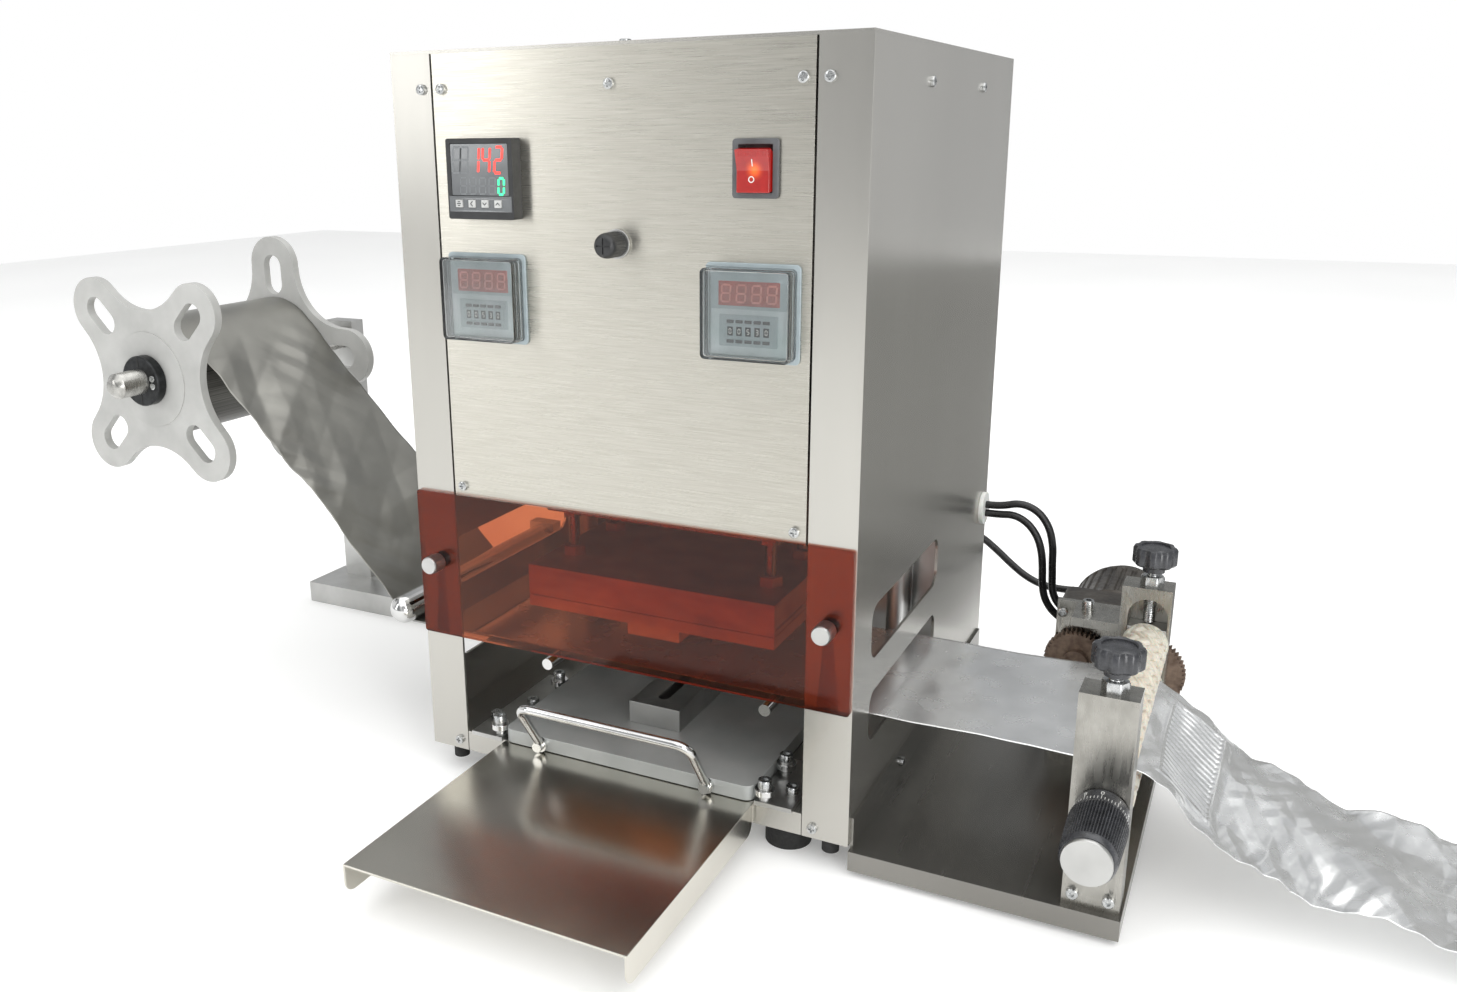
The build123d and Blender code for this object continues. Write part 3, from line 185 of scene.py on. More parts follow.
# Milled aluminium blocks: scratched and slightly stained by handling.
milled_aluminium = material("milled_aluminium_block", ("#96948E", "#AFADA7"), (12, 12, 18),
                            (0.22, 0.34), (3, 3, 22), (1.0, 1.0, 9), 0.008, Metallic=1.0)
# Anodised aluminium drawer plate: matt grey.
drawer_grey = material("anodised_aluminium_plate", ("#A3A6A4", "#B5B7B5"), (40, 40, 40), (0.36, 0.48),
                       (8, 20, 8), (1.5, 1.5, 1.5), 0.004, Metallic=0.3)
# Hard chromed bar: clear reflections.
chrome = material("polished_chrome_bar", ("#C9C9C8", "#DDDDDC"), (25, 25, 25), (0.05, 0.12),
                  (4, 4, 4), (6, 6, 6), 0.003, Metallic=1.0)
# Zinc plated screws: bright with a slight blue cast.
zinc = material("zinc_plated_screws", ("#A9ABAC", "#C8C9C8"), (3, 3, 3), (0.18, 0.34), (1, 1, 1),
                Metallic=1.0)
# Ground tool steel for rods, rings and plates.
ground_steel = material("ground_tool_steel", ("#9E9D99", "#BDBCB8"), (6, 6, 6), (0.20, 0.34),
                        (8, 0.5, 8), Metallic=1.0)
# Vulcanised rubber feet: matt black.
rubber = material("vulcanised_rubber", ("#141414", "#222221"), (6, 6, 6), (0.6, 0.8), (2, 2, 2),
                  (0.8, 0.8, 0.8), 0.03)


def clear_sheet(name, tints, blotch, rough, streak, ior):
    """A clear sheet that lets light straight through: its tint wanders between two colours, and a
    Fresnel share of the light is reflected with a gloss that wanders over wiped streaks."""
    made = bpy.data.materials.new(name)
    made.use_nodes = True
    tree = made.node_tree
    tree.nodes.remove(tree.nodes["Principled BSDF"])
    tint = between(tree, reach(tree, grain(tree, blotch), 0.0, 1.0), *map(linear, tints))
    through = add(tree, "BsdfTransparent", {0: tint}).outputs[0]
    gloss = add(tree, "BsdfAnisotropic", {1: reach(tree, grain(tree, streak), *rough)}).outputs[0]
    share = add(tree, "Fresnel", {0: ior}).outputs[0]
    mixed = add(tree, "MixShader", {0: share, 1: through, 2: gloss}).outputs[0]
    tree.links.new(mixed, tree.nodes["Material Output"].inputs[0])
    return made


# Cast acrylic sheet, brown tinted: clear with crisp reflections, and streaks from wiping.
guard_acrylic = clear_sheet("tinted_cast_acrylic", ("#DCA383", "#D69A7B"), (70, 70, 70), (0.03, 0.12),
                            (26, 4, 3), 1.38)
# Oxidised bronze heater: browned by heat, in uneven blotches.
bronze = material("oxidised_bronze_block", ("#D09A6A", "#F0BC88"), (24, 24, 9), (0.32, 0.5),
                  (20, 2, 20), (10, 1, 10), 0.01, Metallic=0.45)
# Moulded black ABS bezels: fine spark texture.
black_abs = material("moulded_black_abs", ("#1B1C1D", "#2A2B2C"), (8, 8, 8), (0.34, 0.5), (2, 2, 2),
                     (0.4, 0.4, 0.4), 0.01, IOR=1.54)
# Grey ABS of the rocker switch bezel.
dark_grey_abs = material("moulded_dark_grey_abs", ("#4B4D4F", "#5A5C5E"), (8, 8, 8), (0.4, 0.55),
                         (2, 2, 2), (0.4, 0.4, 0.4), 0.01, IOR=1.54)
# Blue-grey ABS of the timers: satin.
timer_grey = material("moulded_blue_grey_abs", ("#98A4A8", "#A4B0B4"), (9, 9, 9), (0.42, 0.55),
                      (2, 2, 2), (0.4, 0.4, 0.4), 0.008, IOR=1.54)
# The same ABS in a paler shade, for the timers' lower faces.
timer_light = material("moulded_pale_grey_abs", ("#B3BDC0", "#C0C9CC"), (9, 9, 9), (0.42, 0.55),
                       (2, 2, 2), (0.4, 0.4, 0.4), 0.008, IOR=1.54)
# Smoked polycarbonate display window: glossy dark grey.
window_grey = material("smoked_display_window", ("#56595B", "#65686A"), (20, 20, 20), (0.10, 0.18),
                       (6, 6, 6), IOR=1.58, Coat_Weight=0.6, Coat_Roughness=0.05)
# Red tinted display window: less glossy.
window_red = material("red_display_window", ("#8C3F3A", "#A14E48"), (7, 7, 7), (0.14, 0.24),
                      (4, 4, 4), IOR=1.58, Coat_Weight=0.5, Coat_Roughness=0.06)
# Unlit display strokes: barely paler than the window round them.
ghost_grey = material("unlit_display_strokes", ("#6B6E70", "#75787A"), (6, 6, 6), (0.2, 0.3),
                      (3, 3, 3))
ghost_red = material("unlit_red_display_strokes", ("#C07A70", "#CC8A80"), (6, 6, 6), (0.2, 0.3),
                     (3, 3, 3))
# Lit display strokes: even glow, a little paler at heart.
glow_red = material("lit_red_strokes", ("#FF3A34", "#FF5A50"), (4, 4, 4), (0.3, 0.4), (3, 3, 3),
                    Emission_Color=linear("#FF2A22"), Emission_Strength=1.3)
glow_green = material("lit_green_strokes", ("#2CE08A", "#5CF0A8"), (4, 4, 4), (0.3, 0.4), (3, 3, 3),
                      Emission_Color=linear("#22E08A"), Emission_Strength=1.1)
# Moulded silicone rubber keys: soft, matt and pale.
key_grey = material("silicone_key", ("#B5B6B4", "#C6C7C5"), (3, 3, 3), (0.45, 0.6), (1, 1, 1),
                    (0.6, 0.6, 0.6), 0.01)
# Pad-printed ink: thin, even and matt.
dark_mark = material("dark_pad_print", ("#22272A", "#30353A"), (3, 3, 3), (0.5, 0.6), (1, 1, 1))
white_mark = material("white_pad_print", ("#D9D9D4", "#EAEAE6"), (3, 3, 3), (0.5, 0.6), (1, 1, 1))
# Moulded polystyrene cover: clear, with slightly wavy faces and bright edges.
clear_cover = clear_sheet("moulded_clear_cover", ("#F7FAF9", "#FFFFFF"), (20, 20, 20), (0.03, 0.08),
                          (12, 12, 12), 1.55)
# Powder coated cast flange: light grey, fine orange peel.
flange_grey = material("powder_coated_casting", ("#A9A9A6", "#B7B7B4"), (22, 22, 22), (0.42, 0.56),
                       (5, 5, 5), (1.1, 1.1, 1.1), 0.02, IOR=1.5)
# Blackened steel collars.
blackened = material("blackened_steel", ("#232425", "#3A3B3C"), (4, 4, 4), (0.28, 0.44), (2, 2, 2),
                     Metallic=0.8)
# The aluminium laminate on its way in: a grey metal with soft reflections, its colour painted darker
# than past the press as painted shade.
shaded_foil = material("shaded_aluminium_laminate", ("#84837E", "#96958F"), (60, 60, 60), (0.32, 0.42),
                     (20, 20, 20), (7, 7, 7), 0.05, Metallic=0.75)
# The same laminate past the press, in its own bright colour.
bright_foil = material("bright_aluminium_laminate", ("#E6E7E7", "#F3F4F4"), (40, 40, 40), (0.2, 0.3),
                       (16, 16, 16), (9, 9, 9), 0.05, Metallic=0.8)
# Edges of the wound foil: fine rings that run across the roll's width.
wound_foil = material("wound_foil_edge", ("#4C4B48", "#6E6D69"), (0.7, 300, 0.7), (0.35, 0.5),
                      (0.5, 300, 0.5), Metallic=0.9)
# Moulded silicone rollers: cream, soft, dusty in the grooves.
silicone = material("moulded_cream_silicone", ("#BEB6A6", "#D2CCBF"), (7, 7, 7), (0.38, 0.55),
                    (3, 3, 3), (1.5, 1.5, 1.5), 0.03, Subsurface_Weight=0.15)
# Cast gear steel with a film of rust.
gear_rust = material("rusted_gear_steel", ("#6A594E", "#968374"), (5, 5, 5), (0.42, 0.68), (2, 2, 2),
                     (1.2, 1.2, 1.2), 0.05, Metallic=0.7)
# Turned phenolic knobs: satin black.
knob_black = material("turned_phenolic", ("#26272A", "#3E3F43"), (5, 5, 5), (0.2, 0.34), (2, 2, 2),
                      (0.7, 0.7, 0.7), 0.01, IOR=1.6)
# Motor casting: semi-gloss brown-black enamel.
motor_enamel = material("enamelled_motor_casting", ("#2A2724", "#4A453F"), (14, 14, 14), (0.3, 0.5),
                        (4, 4, 4), (1.5, 1.5, 1.5), 0.05, Metallic=0.3)
# Moulded nylon grommet: white and slightly milky.
nylon = material("moulded_white_nylon", ("#DADAD4", "#EBEBE7"), (5, 5, 5), (0.4, 0.5), (2, 2, 2),
                 Subsurface_Weight=0.1)
# Extruded PVC sheath: smooth black with long soft highlights.
sheath = material("extruded_pvc_sheath", ("#0F0F10", "#1C1C1D"), (14, 14, 14), (0.24, 0.36),
                  (5, 5, 5), (3, 3, 3), 0.02, IOR=1.53)
# Nickel plated brass fitting: bright and slightly warm.
nickel = material("nickel_plated_brass", ("#BDB8AC", "#D3CFC4"), (4, 4, 4), (0.14, 0.26), (2, 2, 2),
                  Metallic=1.0)


def glowing_lens():
    """Red acrylonitrile lens lit from behind: orange over the lamp, deep red towards the edges."""
    made = material("lit_red_lens", ("#7A0E0A", "#8E1410"), (4, 4, 4), (0.10, 0.2), (3, 3, 3),
                    IOR=1.55, Coat_Weight=0.5, Coat_Roughness=0.05)
    tree = made.node_tree
    shader = tree.nodes["Principled BSDF"]
    lamp = (rocker_middle + np.array([1.0, -8.0, -1.0])) * MM
    where = add(tree, "TexCoord").outputs["Object"]
    far = add(tree, "VectorMath", {0: where, 1: lamp.tolist()}, operation="DISTANCE").outputs["Value"]
    heat = reach(tree, far, 1.0, 0.0, 0.0, 6.5 * MM)
    glow = between(tree, heat, linear("#C01008"), linear("#FF8A28"))
    tree.links.new(glow, shader.inputs["Emission Color"])
    squared = add(tree, "Math", {0: heat, 1: 2.0}, operation="POWER").outputs[0]
    strength = reach(tree, squared, 0.3, 3.0, 0, 1)
    tree.links.new(strength, shader.inputs["Emission Strength"])
    return made


# ---- Mesh helpers ---------------------------------------------------------------------------------
def settle(obj, finish, body, stands_for=()):
    """Gives a piece its finish and body, and hides the CAD nodes that it stands for."""
    obj.data.materials.clear()
    obj.data.materials.append(finish)
    if obj.name not in bpy.context.scene.collection.objects:
        bpy.context.scene.collection.objects.link(obj)
    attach(obj, body)
    if stands_for:
        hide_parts(*stands_for)
    return obj


def smooth(mesh, crease):
    """Shades a mesh smooth, except across edges sharper than crease degrees."""
    mesh.polygons.foreach_set("use_smooth", np.ones(len(mesh.polygons), bool))
    mesh.set_sharp_from_angle(angle=math.radians(crease))


def piece(name, grids, finish, body, stands_for=(), closed=True, crease=35):
    """One object from grids of points (rows, columns, 3). Each four neighbours make a face, the last
    column joins the first if closed is set, and points that meet, as at a pole, are merged."""
    points, faces, start = [], [], 0
    for grid in grids:
        rows, columns = grid.shape[:2]
        index = start + np.arange(rows * columns).reshape(rows, columns)
        last = columns if closed else columns - 1
        near, far = index[:, :last], np.roll(index, -1, axis=1)[:, :last]
        faces.append(np.stack([near[:-1], far[:-1], far[1:], near[1:]], axis=-1).reshape(-1, 4))
        points.append(grid.reshape(-1, 3) * MM)
        start += rows * columns
    mesh = bpy.data.meshes.new(name)
    mesh.from_pydata(np.concatenate(points).tolist(), [], np.concatenate(faces).tolist())
    shell = bmesh.new()
    shell.from_mesh(mesh)
    bmesh.ops.remove_doubles(shell, verts=shell.verts, dist=1e-7)
    if closed:
        bmesh.ops.recalc_face_normals(shell, faces=shell.faces)
    shell.to_mesh(mesh)
    shell.free()
    smooth(mesh, crease)
    return settle(bpy.data.objects.new(name, mesh), finish, body, stands_for)


def edged(node, width, finish, segments=2):
    """A copy of a CAD node with its points merged and its edges rounded by width millimetres, which
    stands for the node and catches a line of light along each fold."""
    mesh = nodes[node].data.copy()
    shell = bmesh.new()
    shell.from_mesh(mesh)
    bmesh.ops.remove_doubles(shell, verts=shell.verts, dist=1e-6)
    bmesh.ops.dissolve_limit(shell, angle_limit=0.01, verts=shell.verts, edges=shell.edges)
    shell.to_mesh(mesh)
    shell.free()
    smooth(mesh, 35)
    obj = bpy.data.objects.new(node + "_edged", mesh)
    bevel = obj.modifiers.new("rounded_edges", "BEVEL")
    bevel.width, bevel.segments = width * MM, segments
    bevel.limit_method, bevel.angle_limit = "ANGLE", math.radians(40)
    bevel.harden_normals = True
    return settle(obj, finish, nodes[node]["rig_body"], (node,))


def dress(finish, *names):
    """Gives CAD nodes that keep their own shape a finish."""
    for name in names:
        nodes[name].data.materials.clear()
        nodes[name].data.materials.append(finish)


def turned(start, axis, radii, heights, steps=48):
    """Rings round an axis. A point stands at start + height along the axis + radius times
    (cos angle up + sin angle sideways). Radii and heights hold one value a ring, or one a point."""
    axis = unit(axis)
    reference = RIGHT if abs(axis[2]) > 0.9 else UP
    up = unit(reference - axis * (reference @ axis))
    angle = np.linspace(0, 2 * np.pi, steps, endpoint=False)
    spoke = np.cos(angle)[:, None] * up + np.sin(angle)[:, None] * np.cross(axis, up)
    radii, heights = (np.asarray(v, float) for v in (radii, heights))
    radii = radii[:, None] * np.ones(steps) if radii.ndim == 1 else radii
    heights = heights[:, None] * np.ones(steps) if heights.ndim == 1 else heights
    return np.array(start, float) + heights[..., None] * axis + radii[..., None] * spoke


def stacked(*rings, steps):
    """Rings of radii, each one number or one value a step, as one array for turned()."""
    return np.stack([np.broadcast_to(np.asarray(ring, float), (steps,)) for ring in rings])


def outline(half, corner, inset=0.0, arc=6):
    """A rounded rectangle: each quarter of a circle of the corner radius, moved out to its corner."""
    quarter = np.radians(np.linspace(0, 90, arc + 1))
    angle = np.concatenate([quarter + k * np.pi / 2 for k in range(4)])
    side = np.repeat([[1, 1], [-1, 1], [-1, -1], [1, -1]], arc + 1, axis=0)
    spoke = np.stack([np.cos(angle), np.sin(angle)], 1)
    return side * (np.array(half) - corner) + (corner - inset) * spoke


def plate(centre, half, corner, thick, bevel=0.15, across=RIGHT, up=UP):
    """A rounded plate: rings from its back centre, round its edge, over a bevel and to its front
    centre. It faces along across x up."""
    across, up = unit(across), unit(up)
    outward = np.cross(across, up)
    rings = [(0, 0, 0), (1, 0, 0), (1, 0, thick - bevel), (1, bevel, thick), (0, 0, thick)]
    return np.stack([
        np.array(centre, float) + outward * level
        + size * (outline(half, corner, inset) @ np.stack([across, up]))
        for size, inset, level in rings])


def hexagon(radius, steps=48):
    """A hexagon in polar form: the flat distance over the cosine of the angle to the nearest flat."""
    angle = np.linspace(0, 2 * np.pi, steps, endpoint=False)
    return radius * math.cos(math.pi / 6) / np.cos((angle % (math.pi / 3)) - math.pi / 6)


def cross(radius, width, steps=48):
    """A cross in polar form: the nearer of the arm's end and its side, by the angle to the arm."""
    angle = (np.linspace(0, 2 * np.pi, steps, endpoint=False) + np.pi / 4) % (np.pi / 2) - np.pi / 4
    return np.minimum(radius / np.cos(angle), width / 2 / np.maximum(np.abs(np.sin(angle)), 1e-6))


def screw_head(at, outward, radius, high, recess, depth):
    """A closed screw head: up its rim, over a rounded edge, and down into its recess."""
    radii = stacked(0, radius, radius, radius * 0.95, radius * 0.82, recess, recess, 0, steps=48)
    return turned(at, outward, radii, [0, 0, high * 0.6, high * 0.88, high, high, high - depth,
                                       high - depth])


def nut(at, outward, radius, high, bore):
    """A hexagon nut: out from the bore, up the flats, over the chamfer and back to the bore."""
    flats = hexagon(radius)
    top = np.minimum(flats, radius * 0.9)
    radii = stacked(bore, flats, flats, top, bore, bore, steps=48)
    return turned(at, outward, radii, [0, 0, high * 0.86, high, high, 0])


def solids(node):
    """The corner points of each separate solid of a CAD node: faces that share a point share one
    label, the lowest of its points' numbers."""
    mesh = nodes[node].data
    spots = np.empty(len(mesh.vertices) * 3)
    mesh.vertices.foreach_get("co", spots)
    corners = np.empty(len(mesh.loops), int)
    mesh.loops.foreach_get("vertex_index", corners)
    keys, same = np.unique(np.round(spots.reshape(-1, 3) / MM, 3), axis=0, return_inverse=True)
    faces = same.reshape(-1)[corners].reshape(-1, 3)
    label, before = np.arange(len(keys)), None
    while before is None or (before != label).any():
        before = label.copy()
        np.minimum.at(label, faces.ravel(), np.repeat(before[faces].min(axis=1), 3))
    return [keys[label == name] for name in np.unique(label)]


# ---- Cables ---------------------------------------------------------------------------------------
def cable(name, route):
    """A sheathed cable 6 mm across: one smooth quadratic spline, guided by a given route."""
    curve = bpy.data.curves.new(name + "_sheath", "CURVE")
    curve.dimensions = "3D"
    spline = curve.splines.new("NURBS")
    spline.points.add(len(route) - 1)
    for point, spot in zip(spline.points, route):
        point.co = [c * MM for c in spot] + [1.0]
    spline.order_u = 3
    spline.use_endpoint_u = True
    curve.resolution_u, curve.bevel_depth, curve.bevel_resolution = 10, 3 * MM, 5
    curve.use_fill_caps = True
    obj = settle(bpy.data.objects.new(name + "_sheath", curve), sheath, "machine",
                 (name,))


cable("motor_cable", [
    (159.5, 154, 150.5), (171, 154, 150.5), (186, 155, 155), (200, 156, 150), (209.5, 156, 138),
    (213.5, 156, 122.5), (213.8, 156.5, 109), (214.6, 157, 96), (215.2, 156.5, 84), (221, 156, 73.5),
    (231.2, 156, 67.6), (242, 156, 67.6)])
cable("inner_cable", [
    (159.5, 154, 143.5), (170.5, 154, 143.5), (182.5, 153.5, 145), (194, 152.5, 139.5),
    (202, 151.5, 129.5), (206, 151, 117.5), (207.5, 151, 104.5), (208, 151.5, 92), (210, 152, 80),
    (216, 153, 69.5), (225.5, 154.5, 62), (237.5, 156, 58), (249, 156, 58)])
cable("rear_cable", [
    (131, 174, 114), (131, 184, 114), (136, 196, 113), (147, 203, 107), (160, 204, 97), (174, 202, 86),
    (188, 200, 77), (203, 199, 72), (219, 199, 71.5), (235, 199, 73), (249, 196, 75), (258, 187, 76),
    (261, 175, 76), (261, 165, 76)])

# ---- Cabinet --------------------------------------------------------------------------------------
edged("front_panel", 0.5, panel_steel)
for part in ("side_panel_left", "side_panel_right"):
    edged(part, 0.7, side_steel)
edged("cover", 0.4, side_steel)
edged("base_plate", 0.5, side_steel)
edged("apron", 0.5, tray_steel)
edged("side_table", 0.6, table_steel)
edged("guard", 0.35, guard_acrylic, segments=1)
dress(rubber, "feet")

# A fastener's axis is the one whose size is furthest from both others. Lock nuts are told by their
# width and pan heads by how small they are, and the rest are socket heads.
lock_nut_wide, pan_radius, pan_high = 15, 3.7, 2.6
heads, nuts = [], []
for points in solids("fasteners"):
    low, high = points.min(axis=0), points.max(axis=0)
    size = high - low
    axis = max(range(3), key=lambda k: min(abs(size[k] - size[j]) for j in range(3) if j != k))
    middle = (low + high) / 2
    spread = np.linalg.norm(np.delete(points - middle, axis, axis=1), axis=1)
    wide = points[spread > spread.max() * 0.95][:, axis]
    if abs(size[0] - lock_nut_wide) < 0.1:
        nuts.append(nut((middle[0], middle[1], low[2]), UP, lock_nut_wide / 2, size[2], 4.0))
        continue
    outward = np.eye(3)[axis] * (1 if wide.mean() > middle[axis] else -1)
    seat = middle.copy()
    seat[axis] = wide.min() if outward[axis] > 0 else wide.max()
    radius, tall = spread.max(), wide.max() - wide.min()
    if radius < pan_radius and tall < pan_high:
        recess = cross(radius * 0.62, radius * 0.34)
    else:
        recess = hexagon(radius * 0.5)
    heads.append(screw_head(seat, outward, radius, tall, recess, tall * 0.55))
piece("screw_heads", heads, zinc, "machine", ("fasteners",))
piece("lock_nuts", nuts, zinc, "machine")

knob_long = 12
knob_grids = []
for points in solids("guard_knobs"):
    low, high = points.min(axis=0), points.max(axis=0)
    middle = (low + high) / 2
    knurl = 6.0 + 0.12 * np.cos(np.linspace(0, 2 * np.pi * 24, 96, endpoint=False))
    radii = stacked(0, 5.6, 6.0, knurl, knurl, 6.0, 5.4, 0, steps=96)
    knob_grids.append(turned((middle[0], low[1] + knob_long, middle[2]), FRONT, radii,
                             [0, 0, 0.5, 1.0, 10.4, 11.0, knob_long, knob_long], steps=96))
piece("guard_thumb_knobs", knob_grids, satin_aluminium, "machine",
      ("guard_knobs",))

# ---- Instruments ----------------------------------------------------------------------------------
SEGMENTS = {"0": "abcdef", "1": "bc", "2": "abged", "3": "abgcd", "4": "fgbc", "5": "afgcd",
            "6": "afgedc", "7": "abc", "8": "abcdefg", "9": "abcdfg"}
# A stroke's centre and direction, in halves of the digit's width and height.
STROKES = {"a": (0, 1, 1), "b": (1, 0.5, 0), "c": (1, -0.5, 0), "d": (0, -1, 1), "e": (-1, -0.5, 0),
           "f": (-1, 0.5, 0), "g": (0, 0, 1)}


def digit(sign, middle, wide, high, stroke, lean=0.0, thick=0.15):
    """The strokes of one seven-stroke digit as thin plates, sheared sideways by lean times the
    height above its middle."""
    grids = []
    for name in SEGMENTS[sign]:
        sideways, upward, flat = STROKES[name]
        half = ((wide / 2 - stroke * 0.75, stroke / 2) if flat
                else (stroke / 2, high / 4 - stroke * 0.6))
        centre = np.array(middle, float)
        centre += RIGHT * sideways * (wide - stroke) / 2 + UP * upward * (high - stroke) / 2
        grid = plate(centre, half, stroke * 0.3, thick, 0.03)
        grid[..., 0] += lean * (grid[..., 2] - middle[2])
        grids.append(grid)
    return grids


edged("controller_housing", 0.5, black_abs)
low, high = box("controller_housing")
face = np.array([(low[0] + high[0]) / 2, low[1], (low[2] + high[2]) / 2])
piece("controller_window", [plate(face + (0, 0.95, 5.5), (20.8, 15.3), 0.8, 0.75)], window_grey,
      "machine")
# The lower strip of the face, in bars round the four keys: a bar above, one below and five between.
key_room, strip_half, strip_low, strip_high = 0.2, 22.8, -19.4, -10.2
key_boxes = [box(f"key_{name}") for name in ("set", "shift", "down", "up")]
key_low = key_boxes[0][0][2] - key_room - face[2]
key_high = key_boxes[0][1][2] + key_room - face[2]
edges = [-strip_half] + [side for low, high in key_boxes
                         for side in (low[0] - key_room - face[0],
                                      high[0] + key_room - face[0])] + [strip_half]
bars = [(-strip_half, strip_half, key_high, strip_high), (-strip_half, strip_half, strip_low, key_low)]
bars += [(left, right, key_low, key_high) for left, right in zip(edges[::2], edges[1::2])]
piece("controller_face", [plate(face + ((left + right) / 2, 0.02, (bottom + top) / 2),
                                ((right - left) / 2, (top - bottom) / 2), 0.02, 0.1, 0.01)
                          for left, right, bottom, top in bars], window_grey, "machine")
red, ghosts = [], []
for sign, x in (("1", -2.6), ("4", 5.4), ("2", 14.2)):
    red += digit(sign, face + (x, 0.18, 11.2), 6.6, 16.6, 1.5, 0.10)
for x in (-16.5, -10.6):
    ghosts += digit("8", face + (x, 0.19, 11.2), 6.6, 16.6, 1.3, 0.10, 0.05)
for x in (-12, -5, 2, 9):
    ghosts += digit("8", face + (x, 0.19, -4.0), 5.4, 10.6, 1.0, 0.05, 0.05)
piece("controller_red_digits", red, glow_red, "machine")
piece("controller_green_digit", digit("0", face + (15.6, 0.18, -4.2), 5.4, 11.0, 1.5, 0.05),
      glow_green, "machine")
piece("controller_unlit_digits", ghosts, ghost_grey, "machine")

# The keys' marks: three lines, and three arrow heads of a rising and a falling stroke. Each stroke
# has its place on the key, the way it runs, the way across it and its half length.
diagonal = (RIGHT + UP) / math.sqrt(2)
rising, falling = (diagonal, UP - RIGHT, 1.1), (RIGHT - UP, diagonal, 1.1)
key_marks = {
    "set": ((0, 0, RIGHT, UP, 1.5), (0, 1.1, RIGHT, UP, 0.8), (0, -1.1, RIGHT, UP, 0.8)),
    "shift": ((-0.1, 0.75) + rising, (-0.1, -0.75) + falling),
    "down": ((-0.7, 0) + falling, (0.7, 0) + rising),
    "up": ((-0.7, 0) + rising, (0.7, 0) + falling)}
for name, strokes in key_marks.items():
    key = f"key_{name}"
    low, high = box(key)
    middle = np.array([(low[0] + high[0]) / 2, low[1] + 0.05, (low[2] + high[2]) / 2])
    marks = [plate(middle + (dx, 0, dz), (half, 0.28), 0.12, 0.1, 0.03, across, up)
             for dx, dz, across, up, half in strokes]
    piece(f"{key}_mark", marks, dark_mark, key)
    edged(key, 0.3, key_grey, segments=3)

edged("timer_housings", 0.5, timer_grey)
for side, name in ((-1, "left"), (1, "right")):
    low, high = box(f"timer_cover_{name}")
    middle = np.array([(low[0] + high[0]) / 2, box("timer_housings")[0][1], (low[2] + high[2]) / 2])
    piece(f"timer_{name}_lower_face", [plate(middle + (0, 0.02, -10.3), (23.2, 12.9), 0.8, 0.3)],
          timer_light, "machine")
    piece(f"timer_{name}_display", [plate(middle + (0, 0.02, 11.4), (18.6, 6.9), 0.5, 0.4)],
          window_red, "machine")
    ghosts, ghost_pitch = [], 9.3
    for k in range(4):
        ghosts += digit("8", middle + (ghost_pitch * (k - 1.5), -0.36, 11.4), 6.4, 10.6, 1.1, 0.06,
                        0.08)
    piece(f"timer_{name}_unlit_digits", ghosts, ghost_red, "machine")
    setters = [plate(middle + (0, -0.25, -9.4), (17.9, 9.0), 0.6, 0.5),
               plate(middle + (0, -0.7, -9.8), (15.2, 4.0), 0.4, 0.3)]
    piece(f"timer_{name}_setting_plate", setters, timer_grey, "machine")
    wells, buttons, numbers = [], [], []
    wheel_pitch = 5.5
    for k, sign in enumerate("00530"):
        x = wheel_pitch * (k - 2)
        wells.append(plate(middle + (x, -0.98, -9.8), (1.7, 2.6), 0.3, 0.1, 0.04))
        numbers += digit(sign, middle + (x, -1.06, -9.8), 1.7, 3.1, 0.42, 0.0, 0.08)
        buttons += [plate(middle + (x, -0.7, z), (2.1, 0.9), 0.3, 0.7) for z in (-4.3, -15.6)]
    piece(f"timer_{name}_number_wells", wells, dark_mark, "machine")
    piece(f"timer_{name}_set_buttons", buttons, dark_grey_abs, "machine")
    piece(f"timer_{name}_numbers", numbers, white_mark, "machine")
    edged(f"timer_cover_{name}", 0.7, clear_cover, segments=3)

panel_face = -170.0
rocker_middle = centre_of("rocker_bezel")
rocker_middle[1] = panel_face
edged("rocker_bezel", 0.6, dark_grey_abs)
red_lens = glowing_lens()
edged("rocker_cap", 0.6, red_lens, segments=3)
# The cap rests tilted. Its two faces slant away from each other, and the marks lie flat on them.
tilt = math.radians(8.0)
rocker_pivot = rocker_middle + (0, 2.0, 0)
lens_up = np.array([0, -math.sin(tilt), math.cos(tilt)])
lens_out = np.array([0, -math.cos(tilt), -math.sin(tilt)])
slant = 1.9 / 11.7
upper_up = unit(lens_up + slant * lens_out)
lower_up = unit(lens_up - slant * lens_out)
rib_pitch = 1.45
ribs = [plate(rocker_pivot + RIGHT * (k - 5.5) * rib_pitch + lens_up * 9.6 + lens_out * 9.1,
              (0.42, 1.7), 0.25, 0.35, 0.12, RIGHT, upper_up) for k in range(12)]
piece("rocker_grip_ribs", ribs, red_lens, "rocker")
on_mark = [plate(rocker_pivot + lens_up * 4.4 + lens_out * 8.28, (0.28, 2.0), 0.15, 0.1, 0.03,
                 RIGHT, upper_up),
           turned(rocker_pivot + lens_up * -4.6 + lens_out * 8.30 - RIGHT * 0.8,
                  np.cross(RIGHT, lower_up), [1.25, 1.75, 1.75, 1.25, 1.25], [0, 0, 0.12, 0.12, 0],
                  steps=32)]
piece("rocker_marks", on_mark, white_mark, "rocker")

